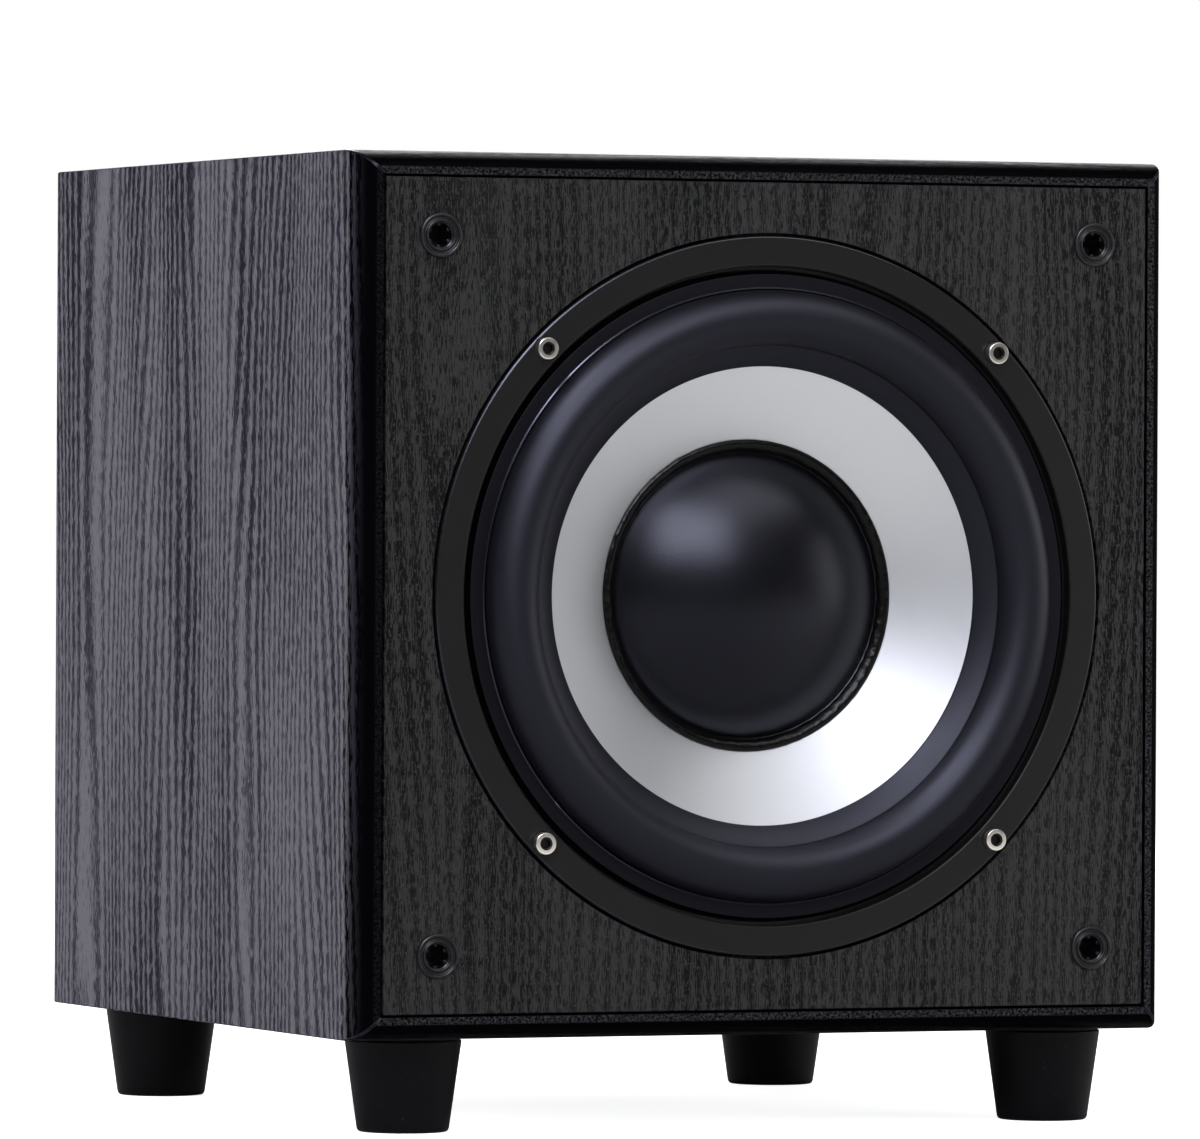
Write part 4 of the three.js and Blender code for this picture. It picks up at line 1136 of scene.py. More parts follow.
@dataclass
class GrilleSockets:
    """The four cups that take the pegs of a grille."""

    kit: Finishes
    flange: float = 7 * MM
    bead: float = 0.9 * MM
    bore: float = 3.8 * MM
    depth: float = 13 * MM
    bore_depth: float = 11.5 * MM
    body: float = 5.2 * MM
    ribs: int = 6
    rib: float = 0.55 * MM
    rib_depth: float = 5.6 * MM
    rib_length: float = 8.4 * MM

    def make(self) -> None:
        """Builds one cup with its ribs, and copies it to the other corners."""
        nodes = [f"grille_socket_{corner}" for corner in QUARTERS]
        centre = at_depth(nodes[0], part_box("front_baffle")[0].y)
        outline = eased(
            [
                (0.0, self.bore_depth),
                (self.bore, self.bore_depth),
                (self.bore, 0.2 * MM, 0.4 * MM),
                (self.bore + 0.5 * MM, 0.0, 0.25 * MM),
                (self.bore + 0.55 * MM, -0.75 * MM, 0.3 * MM),
                (self.bore + 1.15 * MM, -0.75 * MM, 0.3 * MM),
                (self.bore + 1.3 * MM, -0.1 * MM, 0.3 * MM),
                (self.flange - 1.1 * MM, -0.1 * MM, 0.3 * MM),
                (self.flange - 0.95 * MM, -self.bead, 0.4 * MM),
                (self.flange, -self.bead, 0.5 * MM),
                (self.flange, 0.0),
                (self.body, 0.0),
                (self.body, self.depth),
                (0.0, self.depth),
            ],
            3,
        )
        cup = turned("cup", outline, centre, CUP_STEPS, closed=False)
        for i in range(self.ribs):
            angle = math.tau * (i + 0.5) / self.ribs
            out = Vector((math.cos(angle), 0, math.sin(angle)))
            middle = centre + out * (self.bore + 0.1 * MM - self.rib / 2) + Y_AXIS * self.rib_depth
            half = Vector((self.rib, self.rib_length / 2, self.rib))
            rib = block("rib", middle - half, middle + half, 0.2 * MM, 2)
            combine(cup, [rib], "UNION")
        spread(cup, nodes, "cup", self.kit.socket_plastic, "black_plastic")


@dataclass
class Feet:
    """Four tapered feet with a counterbore and a screw each."""

    kit: Finishes
    top: float = 18.6 * MM
    bottom: float = 14.5 * MM
    height: float = 30 * MM
    neck: float = 0.8 * MM
    recess: float = 5.5 * MM
    recess_depth: float = 16 * MM
    hole: float = 2.5 * MM

    def make(self) -> None:
        """Builds one foot and copies it to the other corners."""
        nodes = [f"foot_{corner}" for corner in CORNERS]
        place = centre_of(nodes[0])
        outline = eased(
            [
                (self.hole, self.height),
                (self.top - self.neck, self.height),
                (self.top - self.neck, self.height - self.neck, 0.3 * MM),
                (self.top, self.height - self.neck, 0.6 * MM),
                (self.bottom, 0.0, 1.4 * MM),
                (self.recess, 0.0, 0.5 * MM),
                (self.recess, self.recess_depth),
                (self.hole, self.recess_depth),
            ]
        )
        foot = turned("foot", outline, Vector((0, 0, 0)))
        foot.rotation_euler = (math.pi / 2, 0, 0)
        foot.location = (place.x, place.y, 0)
        settle(foot)
        spread(foot, nodes, "cone", self.kit.foot_plastic, "black_plastic")
        dress(self.kit.zinc, *(f"foot_screw_{corner}" for corner in CORNERS))


# --- driver


@dataclass
class Driver:
    """The drive unit: basket, clamp ring, surround, cone, dust cap, spider, motor and screws."""

    kit: Finishes
    flange_front: float = -0.7 * MM
    flange_edge: float = 1.0 * MM
    flange: float = 114.5 * MM
    groove: float = 104.8 * MM
    clamp_outer: float = 103.6 * MM
    clamp_visible: float = 102.8 * MM
    clamp_inner: float = 97.7 * MM
    clamp_front: float = 0.2 * MM
    clamp_back: float = 2.5 * MM
    clamp_edge: float = 0.4 * MM
    lip_seat: float = 3.5 * MM
    metal: float = 2.5 * MM
    ledge: float = 40.4 * MM
    bowl_foot: float = 62.3 * MM
    neck: float = 58 * MM
    neck_depth: float = 49 * MM
    legs: int = 6
    leg_width: float = 20 * MM
    window_margin: float = 3 * MM
    roll_outer: float = 97.3 * MM
    roll_inner: float = 79.7 * MM
    rubber: float = 1 * MM
    land: float = 73.1 * MM
    cone_edge_depth: float = 1.2 * MM
    cone_slope: float = 0.581
    cone_sheet: float = 0.8 * MM
    cone_neck: float = 25.6 * MM
    glue_line: float = 0.1 * MM
    glue_lump: float = 2.4 * MM
    glue_rise: float = 0.7 * MM
    cap: float = 48.6 * MM
    cap_dome: float = 45.6 * MM
    cap_height: float = 18 * MM
    cap_sheet: float = 0.9 * MM
    screw_head: float = 3.5 * MM
    screw_height: float = 4 * MM
    screw_shank: float = 2 * MM
    screw_length: float = 16 * MM
    screw_seat: float = 0.1 * MM
    hole_clearance: float = 0.3 * MM
    hole_depth: float = 16 * MM
    sink_clearance: float = 0.4 * MM
    key: float = 3 * MM
    key_depth: float = 2 * MM
    spider_waves: int = 7
    spider_depth: float = 40 * MM
    spider_rise: float = 1.4 * MM
    spider_sheet: float = 0.8 * MM
    spider_outer: float = 62 * MM
    spider_land: float = 3.5 * MM
    centre: Vector = field(init=False)

    def __post_init__(self) -> None:
        """Finds the driver's axis on the baffle's front."""
        self.centre = at_depth("driver_basket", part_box("front_baffle")[0].y)

    def cone_depth(self, radius: float) -> float:
        """Depth of the cone's front face at a radius."""
        return self.cone_edge_depth + (self.roll_inner - radius) * self.cone_slope

    def radius_of(self, place: Vector) -> float:
        """A place's distance from the driver's axis."""
        return math.hypot(place.x - self.centre.x, place.z - self.centre.z)

    def screw_places(self) -> list[Vector]:
        """Each screw's seat, in the order of the corners."""
        depth = self.centre.y + self.screw_seat
        return [at_depth(f"driver_screw_{corner}", depth) for corner in QUARTERS]

    def build_basket(self) -> Object:
        """The flange, the windowed bowl and the neck, drilled for its screws.

        Returns:
            The basket, with its edge bright.
        """
        edge, back = self.flange_edge, self.lip_seat + self.metal
        outline = eased(
            [
                (self.groove, self.flange_front, edge),
                (self.flange, self.flange_front, edge),
                (self.flange, back),
                (self.clamp_inner, back),
                (self.bowl_foot + self.metal, self.ledge + self.metal),
                (self.neck, self.ledge + self.metal),
                (self.neck, self.neck_depth),
                (self.neck - self.metal, self.neck_depth),
                (self.neck - self.metal, self.ledge),
                (self.bowl_foot, self.ledge),
                (self.clamp_inner - self.metal, self.lip_seat),
                (self.groove, self.lip_seat),
            ],
            6,
        )
        made = turned("basket_casting", outline, self.centre, RING_STEPS)
        near, far = back + self.window_margin, self.ledge - self.window_margin
        inner, outer = self.bowl_foot - self.metal, self.clamp_inner
        section = [(inner, near), (outer, near), (outer, far), (inner, far)]
        windows = turned("windows", section, self.centre)
        legs = []
        for i in range(self.legs):
            size = Vector((outer / 2 + MM, (far - near) / 2 + MM, self.leg_width / 2))
            middle = Vector((outer / 2, (near + far) / 2, 0))
            leg = block("leg", middle - size, middle + size)
            leg.rotation_euler = (0, math.tau * (i + 0.5) / self.legs, 0)
            leg.location = self.centre
            settle(leg)
            legs.append(leg)
        tools = [combine(windows, legs)]
        for seat in self.screw_places():
            start = seat - Y_AXIS * self.screw_height
            hole = self.screw_shank + self.hole_clearance
            tools.append(rod("hole", start, hole, self.hole_depth, 32))
            tools.append(rod("sink", start, self.screw_head + self.sink_clearance, self.screw_height))
        combine(made, tools)
        self.brighten(made, self.kit.frame_paint, self.flange - edge, self.flange)
        return made

    def build_clamp_ring(self) -> Object:
        """The pressed ring over the surround's outer lip.

        Returns:
            The ring, with a bright inner edge, and its outer slope into the groove coated near-black as
            painted shade.
        """
        front, back = self.clamp_front, self.clamp_back
        outline = eased(
            [
                (self.clamp_inner, back),
                (self.clamp_inner, front, 0.1 * MM),
                (self.clamp_inner + 0.15 * MM, front, 0.06 * MM),
                (self.clamp_inner + 0.5 * MM, front + 0.35 * MM, 0.06 * MM),
                (self.clamp_visible - self.clamp_edge, front + 0.35 * MM, 0.3 * MM),
                (self.clamp_visible, front + 1.6 * MM, 0.2 * MM),
                (self.clamp_outer, front + 1.9 * MM, 0.2 * MM),
                (self.clamp_outer, back),
            ],
            4,
        )
        made = turned("clamp_ring_pressed", outline, self.centre, RING_STEPS)
        self.brighten(made, self.kit.ring_foam, self.clamp_inner, self.clamp_inner + 0.8 * MM)
        # Painted shade: the ring's outer slope down into the groove gets a matt coat darker than the foam.
        made.data.materials.append(self.kit.groove_black)
        for face in made.data.polygons:
            if self.radius_of(face.center) > self.clamp_visible - self.clamp_edge:
                face.material_index = 2
        return made

    def brighten(self, obj: Object, material: Material, near: float, far: float) -> None:
        """Gives a ring's front edge, where it slopes outwards between two radii, the polished finish.

        Args:
            obj: The ring.
            material: The finish of all the rest.
            near: The inner radius.
            far: The outer radius.
        """
        obj.data.materials.clear()
        obj.data.materials.append(material)
        obj.data.materials.append(self.kit.bright_edge)
        for face in obj.data.polygons:
            out = face.center - self.centre
            out.y = 0.0
            sloped = face.normal.y < -0.2 and face.normal.dot(out.normalized()) > 0.2
            face.material_index = 1 if sloped and near < out.length < far else 0

    def build_surround(self) -> Object:
        """The half-roll surround, from its clamped lip to the band glued on the cone.

        Returns:
            The surround.
        """
        middle = ((self.roll_outer + self.roll_inner) / 2, self.clamp_front)
        radius = (self.roll_outer - self.roll_inner) / 2
        foot, root = self.roll_inner - 0.4 * MM, self.roll_inner + self.rubber
        edge = self.land + 0.25 * MM
        outline = [
            *arc(middle, radius, 0, -180, 32),
            (foot, self.cone_depth(foot) - self.rubber * 1.05),
            (edge, self.cone_depth(edge) - self.rubber * 0.85),
            (self.land, self.cone_depth(self.land) - self.rubber * 0.55),
            (self.land, self.cone_depth(self.land) - self.glue_line),
            (root, self.cone_depth(root) - self.glue_line),
            *arc(middle, radius - self.rubber, -180, 0, 24),
            (self.roll_outer - self.rubber, self.lip_seat),
            (self.clamp_outer, self.lip_seat),
            (self.clamp_outer, self.clamp_back),
            (self.roll_outer, self.clamp_back),
        ]
        return turned("surround_roll", outline, self.centre, RING_STEPS)

    def build_cone(self) -> Object:
        """The straight-sided metal cone.

        Returns:
            The cone.
        """
        edge = self.roll_inner + self.rubber - 0.3 * MM
        steps = 12
        radii = [edge - (edge - self.cone_neck) * i / steps for i in range(steps + 1)]
        front = [(radius, self.cone_depth(radius)) for radius in radii]
        back = [(radius, depth + self.cone_sheet) for radius, depth in reversed(front)]
        return turned("cone_spun", [*front, *back], self.centre, RING_STEPS)

    def build_glue(self) -> Object:
        """The uneven bead of glue that runs over the dust cap's rim.

        Returns:
            The bead.
        """

        def above(radius: float, height: float) -> Point:
            """A point so many millimetres in front of the cone."""
            return radius, self.cone_depth(radius) - height * MM

        outline = [
            above(49.9 * MM, 0.02),
            above(49.5 * MM, 0.7),
            above(48.9 * MM, 1.35),
            above(48.1 * MM, 1.75),
            above(47.2 * MM, 1.85),
            above(46.4 * MM, 1.6),
            above(45.9 * MM, 1.05),
            above(46.6 * MM, 0.95),
            above(48.8 * MM, 0.95),
            above(48.9 * MM, 0.02),
        ]
        made = turned("cap_glue_bead", outline, self.centre, 320)
        lifted = []
        for vertex in made.data.vertices:
            radius = self.radius_of(vertex.co)
            height = self.centre.y + self.cone_depth(radius) - vertex.co.y
            if height > 0.98 * MM or radius > 49.2 * MM and height > FLAT:
                lifted.append(vertex.index)
        lumps = bpy.data.textures.new("glue_lumps", "CLOUDS")
        lumps.noise_scale, lumps.noise_depth = self.glue_lump, 2
        pick(made)
        bpy.ops.object.vertex_group_add()
        group = made.vertex_groups[-1]
        group.add(lifted, 1.0, "REPLACE")
        bpy.ops.object.modifier_add(type="DISPLACE")
        modifier = made.modifiers[-1]
        modifier.texture, modifier.texture_coords = lumps, "LOCAL"
        modifier.strength, modifier.mid_level = self.glue_rise, 0.5
        modifier.vertex_group = group.name
        bpy.ops.object.modifier_apply(modifier=modifier.name)
        return made

    def build_cap(self) -> Object:
        """The domed dust cap with its narrow rim.

        Returns:
            The cap.
        """
        rim, height, sheet = self.cap_dome, self.cap_height, self.cap_sheet

        def seat(radius: float) -> float:
            """Depth of the glued foot at a radius."""
            return self.cone_depth(radius) - self.glue_line

        curve = (rim * rim + height * height) / (2 * height)
        middle = (0.0, seat(rim) - sheet - height + curve)
        half = math.degrees(math.asin(rim / curve))
        outer = arc(middle, curve, -90 + half, -90, 28)
        inner = arc(middle, curve - sheet, -90, -90 + half, 14)
        outer[-1], inner[0] = (0.0, outer[-1][1]), (0.0, inner[0][1])
        foot = inner[-1][0]
        outline = [
            *inner,
            (foot, seat(foot)),
            (self.cap, seat(self.cap)),
            (self.cap, seat(self.cap) - sheet * 0.8),
            (self.cap - 0.3 * MM, seat(self.cap) - sheet),
            *outer,
        ]
        return turned("dust_cap_dome", outline, self.centre, 160, closed=False)

    def build_spider(self) -> Object:
        """The corrugated cloth disc that centres the coil.

        Returns:
            The disc.
        """
        near, far, land = self.cone_neck, self.spider_outer, self.spider_land
        depth, half = self.spider_depth, self.spider_sheet / 2
        steps = self.spider_waves * 8
        line = [(near, depth)]
        for i in range(steps + 1):
            t = i / steps
            rise = self.spider_rise * math.sin(math.tau * self.spider_waves * t)
            line.append((near + land + (far - near - 2 * land) * t, depth + rise))
        line.append((far, depth))
        front = [(radius, at - half) for radius, at in line]
        back = [(radius, at + half) for radius, at in reversed(line)]
        return turned("spider_cloth", [*front, *back], self.centre, 128)

    def build_screw(self, seat: Vector) -> Object:
        """A socket head cap screw with its head standing in front of its seat.

        Args:
            seat: The middle of its seat.

        Returns:
            The screw, with its socket dark.
        """
        top = -self.screw_height
        outline = eased(
            [
                (0.0, top),
                (self.screw_head, top, 0.45 * MM),
                (self.screw_head, 0.0, 0.15 * MM),
                (self.screw_shank, 0.0),
                (self.screw_shank, self.screw_length - 0.6 * MM),
                (self.screw_shank - 0.5 * MM, self.screw_length),
                (0.0, self.screw_length),
            ],
            4,
        )
        made = turned("screw", outline, seat, CUP_STEPS, closed=False)
        start = seat + Y_AXIS * (top - MM)
        socket = rod("key", start, self.key / math.sqrt(3), self.key_depth + MM, 6)
        sink = [
            (0.0, top - MM),
            (2.25 * MM, top - MM),
            (2.1 * MM, top),
            (1.55 * MM, top + 0.45 * MM),
            (0.0, top + 0.5 * MM),
        ]
        cup = turned("countersink", sink, seat, 48, closed=False)
        combine(made, [socket, cup])
        made.data.materials.append(self.kit.nickel)
        made.data.materials.append(self.kit.socket_shadow)
        for face in made.data.polygons:
            place = face.center - seat
            inside = math.hypot(place.x, place.z) < 2.05 * MM and top + FLAT < place.y < 0
            face.material_index = 1 if inside else 0
        return made

    def make_flexing(
        self, obj: Object, material: Material, slot: str, node: str, held: float, moving: float
    ) -> None:
        """Finishes a ring that bends between the still basket and the moving cone.

        Args:
            obj: The ring.
            material: Its material.
            slot: The record's material slot.
            node: The CAD node that it stands for.
            held: The radius outside which it stays with the cabinet.
            moving: The radius inside which it goes with the cone.
        """
        fit_out(obj, material, slot, None, node)
        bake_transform(obj, CABINET, CONE_BODY, self.centre, self.centre + Y_AXIS * self.clamp_outer)
        shares = obj.data.attributes["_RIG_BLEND"].data
        for vertex, share in zip(obj.data.vertices, shares):
            t = min(1.0, max(0.0, (held - self.radius_of(vertex.co)) / (held - moving)))
            share.value = t * t * (3 - 2 * t)

    def make(self) -> None:
        """Builds and dresses the whole driver."""
        kit = self.kit
        fit_out(self.build_basket(), kit.frame_paint, "black_metal", CABINET, "driver_basket")
        fit_out(self.build_clamp_ring(), kit.ring_foam, "surround_rubber", CABINET, "clamp_ring")
        held, moving = self.roll_outer + 0.1 * MM, self.roll_inner + 0.2 * MM
        surround = self.build_surround()
        self.make_flexing(surround, kit.roll_rubber, "surround_rubber", "surround", held, moving)
        held, moving = self.spider_outer - self.spider_land, self.cone_neck + self.spider_land
        self.make_flexing(self.build_spider(), kit.resin_cloth, "resin_cloth", "spider", held, moving)
        fit_out(self.build_cone(), kit.cone_metal, "cone_metal", CONE_BODY, "cone", angle=30)
        fit_out(self.build_cap(), kit.cap_plastic, "black_plastic", CONE_BODY, "dust_cap")
        fit_out(self.build_glue(), kit.glue, "black_plastic", CONE_BODY, angle=60)
        nodes = [f"driver_screw_{corner}" for corner in QUARTERS]
        spread(self.build_screw(self.screw_places()[0]), nodes, "cap", kit.nickel, "screw_nickel")
        dress(kit.gasket_rubber, "driver_gasket", "speaker_wire")
        dress(kit.tape, "coil_former")
        dress(kit.copper, "voice_coil")
        dress(kit.iron, "top_plate", "pole_yoke")
        dress(kit.ferrite, "magnet")
        dress(kit.circuit, "terminal_strip")


# --- back


@dataclass
class BackPanel:
    """The back panel with the port's hole and the amplifier's window."""

    kit: Finishes
    port_hole: float = 27.8 * MM
    overlap: float = 12 * MM
    pilot: float = 2.1 * MM
    pilot_depth: float = 16 * MM
    edge: float = 0.4 * MM

    def make(self) -> None:
        """Builds and dresses the panel."""
        low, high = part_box("back_panel")
        made = block("back_panel_board", low, high)
        bevel_back(made, high.y, self.edge, 2)
        start = at_depth("port_tube", low.y - MM)
        tools = [rod("port_hole", start, self.port_hole, high.y - low.y + 2 * MM, 96)]
        plate_low, plate_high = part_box("amplifier_gasket")
        inset = Vector((self.overlap, 0, self.overlap))
        tools.append(
            block(
                "window",
                Vector((plate_low.x, low.y - MM, plate_low.z)) + inset,
                Vector((plate_high.x, high.y + MM, plate_high.z)) - inset,
            )
        )
        for corner in QUARTERS:
            pilot = at_depth(f"amplifier_screw_{corner}", low.y - MM)
            tools.append(rod("pilot", pilot, self.pilot, self.pilot_depth, PIN_STEPS))
        combine(made, tools)
        fit_out(made, self.kit.back, "vinyl_wood", CABINET, "back_panel")


@dataclass
class Port:
    """The port tube with its flared mouth."""

    kit: Finishes
    bore: float = 25 * MM
    wall: float = 2.5 * MM
    flange: float = 37 * MM
    flange_thickness: float = 3 * MM
    flare: float = 8 * MM
    edge: float = 1.2 * MM
    inner_edge: float = 0.6 * MM

    def make(self) -> None:
        """Builds and dresses the port."""
        low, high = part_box("port_tube")
        face = high.y - low.y
        seat = face - self.flange_thickness
        outer, edge = self.bore + self.wall, self.edge
        outline = [
            (outer, self.inner_edge),
            (outer, seat),
            (self.flange, seat),
            (self.flange, face - edge),
            *arc((self.flange - edge, face - edge), edge, 0, 90, 6)[1:],
            *arc((self.bore + self.flare, face - self.flare), self.flare, 90, 180, 14),
            (self.bore, self.inner_edge),
            (self.bore + self.wall / 2, 0.0),
        ]
        made = turned("port_tube_flared", outline, at_depth("port_tube", low.y), 128)
        fit_out(made, self.kit.port_plastic, "black_plastic", CABINET, "port_tube")


class Control(Enum):
    """The two turning controls on the plate, each with its body."""

    VOLUME = "volume"
    CROSSOVER = "crossover"

    @property
    def body(self) -> str:
        """The CAD body that the knob rides on."""
        return f"{self.value}_control"


@dataclass
class AmplifierPlate:
    """The amplifier's plate and everything on it."""

    kit: Finishes
    proud: float = 2.5 * MM
    thickness: float = 2.5 * MM
    corner: float = 5 * MM
    plate_edge: float = 0.45 * MM
    edge: float = 0.5 * MM
    bush: float = 4.8 * MM
    jack: float = 4.2 * MM
    jack_bore: float = 1.6 * MM
    jack_reach: float = 9 * MM
    jack_spacing: float = 18 * MM
    collar: float = 6.4 * MM
    clearance: float = 0.3 * MM
    stud: float = 3 * MM
    stud_inset: float = 5 * MM
    transformer_stud: float = 4 * MM
    inlet_shell: Point = (14.5 * MM, 10.5 * MM)
    inlet_cavity: tuple[float, float, float] = (12.5 * MM, 8.5 * MM, 16 * MM)
    inlet_chamfer: float = 5 * MM
    inlet_corner: float = 6 * MM
    pin_spacing: float = 7 * MM
    pin_length: float = 10.5 * MM
    inlet_screw_spacing: float = 20 * MM
    switch_shell: Point = (6.7 * MM, 11 * MM)
    switch_corner: float = 2 * MM
    switch_well: tuple[float, float, float] = (4.8 * MM, 11 * MM, 9.2 * MM)
    rocker_half: float = 8 * MM
    rocker_width: float = 4.5 * MM
    rocker_tilt: float = 10.0
    pivot_depth: float = 3 * MM
    pivot_hole: float = 1.7 * MM
    pivot_pin: float = 1.4 * MM
    pivot_reach: float = 1.2 * MM
    phase_slot: Point = (4 * MM, 2 * MM)
    lever: float = 1.7 * MM
    ridge_spacing: float = 0.9 * MM
    knob: float = 12 * MM
    knob_bore: float = 3.15 * MM
    knob_bore_depth: float = 9 * MM
    knob_grooves: int = 30
    groove: float = 0.75 * MM
    groove_inset: float = 0.45 * MM
    groove_start: float = 3.2 * MM
    pointer_width: float = 1.6 * MM
    pointer_length: float = 9 * MM
    pointer_depth: float = 1 * MM
    tick_inner: float = 14.6 * MM
    tick_outer: float = 17.4 * MM
    tick_count: int = 11
    sweep: float = 300.0
    ink: float = 0.12 * MM
    ink_edge: float = 0.04 * MM
    line: float = 0.25 * MM
    screw_head: float = 3.4 * MM
    screw_height: float = 2 * MM
    screw_shank: float = 1.8 * MM
    screw_length: float = 13 * MM
    cross_turn: float = 17.0
    light: float = 1.6 * MM
    light_reach: float = 1.2 * MM
    outer: float = field(init=False)
    inner: float = field(init=False)

    def __post_init__(self) -> None:
        """Finds the plate's two faces."""
        self.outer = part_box("power_inlet")[1].y - self.proud
        self.inner = self.outer - self.thickness

    def rounded(self, node: str, low_y: float, high_y: float, radius: float, steps: int = 8) -> Object:
        """A plate over a node's outline, with round corners.

        Args:
            node: The CAD node whose width and height it takes.
            low_y: Its inner face.
            high_y: Its outer face.
            radius: Its corners' radius.
            steps: How many faces each corner has.

        Returns:
            The plate.
        """
        low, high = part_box(node)
        corners = (
            (high.x - radius, high.z - radius, 0),
            (low.x + radius, high.z - radius, 90),
            (low.x + radius, low.z + radius, 180),
            (high.x - radius, low.z + radius, 270),
        )
        places = []
        for x, z, start in corners:
            turn = arc((x, z), radius, start, start + 90, steps)
            places += [Vector((px, low_y, pz)) for px, pz in turn]
        return extruded("plate", places, Y_AXIS * (high_y - low_y))

    def on_plate(self, node: str) -> Vector:
        """A node's middle, on the plate's outer face."""
        return at_depth(node, self.outer)

    def jack_places(self) -> list[Vector]:
        """The two jacks' centres on the plate's outer face."""
        middle = self.on_plate("line_inputs")
        return [middle + X_AXIS * side * self.jack_spacing / 2 for side in (-1, 1)]

    def make_plate(self) -> None:
        """The plate with its openings and its studs."""
        made = self.rounded("amplifier_plate", self.inner, self.outer, self.corner)
        made.name = made.data.name = "amplifier_plate_pressed"
        bevel_back(made, self.outer, self.plate_edge)
        deep, length = self.inner - MM, self.thickness + 2 * MM
        tools = [rod("bush", at_depth(f"{c.value}_knob", deep), self.bush, length) for c in Control]
        for place in self.jack_places():
            start = Vector((place.x, deep, place.z))
            tools.append(rod("jack", start, self.jack + self.clearance, length))
        lamp = at_depth("status_light", deep)
        tools.append(rod("light", lamp, self.light + self.clearance, length))
        for corner in QUARTERS:
            place = at_depth(f"amplifier_screw_{corner}", deep)
            tools.append(rod("hole", place, self.screw_shank + self.clearance, length, PIN_STEPS))
        for node, (wide, tall) in (
            ("power_inlet", self.inlet_shell),
            ("power_switch", self.switch_shell),
            ("phase_switch", self.phase_slot),
        ):
            spare = 0 if node == "phase_switch" else self.clearance
            size = Vector((wide + spare, length / 2, tall + spare))
            middle = at_depth(node, self.inner + self.thickness / 2)
            tools.append(block("opening", middle - size, middle + size))
        combine(made, tools)
        board_low, board_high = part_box("circuit_board")
        studs = []
        reach = self.inner + MM - board_high.y
        for x in (board_low.x + self.stud_inset, board_high.x - self.stud_inset):
            for z in (board_low.z + self.stud_inset, board_high.z - self.stud_inset):
                start = Vector((x, board_high.y, z))
                studs.append(rod("stud", start, self.stud, reach, PIN_STEPS))
        start = at_depth("transformer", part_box("transformer")[0].y)
        reach = self.inner + MM - start.y
        studs.append(rod("stud", start, self.transformer_stud, reach, PIN_STEPS))
        combine(made, studs, "UNION")
        fit_out(made, self.kit.plate_paint, "black_metal", CABINET, "amplifier_plate")

    def make_marks(self) -> None:
        """The printed scale around each knob and the printed lines beside the phase switch."""
        lift = self.ink / 2 + 0.02 * MM
        for control in Control:
            middle = self.on_plate(f"{control.value}_knob")
            for i in range(self.tick_count):
                turn = math.radians(-self.sweep / 2 + self.sweep * i / (self.tick_count - 1))
                long = i in (0, self.tick_count // 2, self.tick_count - 1)
                reach = self.tick_outer + (MM if long else 0)
                half = Vector((self.line, self.ink / 2, (reach - self.tick_inner) / 2))
                centre = Vector((0, lift, (reach + self.tick_inner) / 2))
                tick = block("tick", centre - half, centre + half, self.ink_edge, 1)
                tick.rotation_euler = (0, turn, 0)
                tick.location = middle
                settle(tick)
                tick.name = tick.data.name = f"{control.value}_tick_{i}"
                fit_out(tick, self.kit.white_ink, None, CABINET)
        middle = self.on_plate("phase_switch")
        for name, side in (("start", -1), ("end", 1)):
            centre = middle + X_AXIS * side * 8.5 * MM + Y_AXIS * lift
            half = Vector((1.6 * MM, self.ink / 2, self.line))
            mark = block(f"phase_mark_{name}", centre - half, centre + half, self.ink_edge, 1)
            fit_out(mark, self.kit.white_ink, None, CABINET)

    def make_knobs(self) -> None:
        """The two grooved knobs with their white pointers."""
        knob_low, knob_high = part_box("volume_knob")
        base = at_depth("volume_knob", knob_low.y)
        top = knob_high.y - knob_low.y
        outline = eased(
            [
                (self.knob_bore, 0.0),
                (self.knob, 0.0, 0.3 * MM),
                (self.knob, 2.2 * MM, 0.3 * MM),
                (self.knob - 0.8 * MM, 2.8 * MM, 0.4 * MM),
                (self.knob - 1.4 * MM, top, 1.2 * MM),
                (0.0, top),
                (0.0, self.knob_bore_depth),
                (self.knob_bore, self.knob_bore_depth),
            ],
            5,
        )
        knob = turned("knob", outline, base, 120, closed=False)
        tools = []
        for i in range(self.knob_grooves):
            turn = math.tau * (i + 0.5) / self.knob_grooves
            out = Vector((math.sin(turn), 0, math.cos(turn)))
            start = base + out * (self.knob - self.groove_inset) + Y_AXIS * self.groove_start
            tools.append(rod("groove", start, self.groove, top, 16))
        slot_middle = Vector((base.x, knob_high.y, base.z + self.knob - self.pointer_length / 2))
        half = Vector((self.pointer_width / 2, self.pointer_depth, self.pointer_length / 2 + 0.1 * MM))
        tools.append(block("pointer_slot", slot_middle - half, slot_middle + half))
        combine(knob, tools)
        side = half.x - 0.1 * MM
        fill_low = slot_middle - Vector((side, self.pointer_depth - 0.02 * MM, half.z - 0.3 * MM))
        fill_high = slot_middle + Vector((side, -0.25 * MM, half.z - 2.3 * MM))
        pointer = block("pointer", fill_low, fill_high, 0.12 * MM, 2)
        for control in (Control.CROSSOVER, Control.VOLUME):
            offset = at_depth(f"{control.value}_knob", base.y) - base
            last = control is Control.VOLUME
            made = knob if last else copied(knob, "knob", offset)
            line = pointer if last else copied(pointer, "pointer", offset)
            name = control.value
            made.name = made.data.name = f"{name}_knob_grip"
            line.name = line.data.name = f"{name}_pointer"
            fit_out(made, self.kit.knob_plastic, "black_plastic", control.body, f"{name}_knob")
            fit_out(line, self.kit.white_ink, None, control.body)
            dress(self.kit.zinc, f"{name}_shaft", f"{name}_potentiometer")

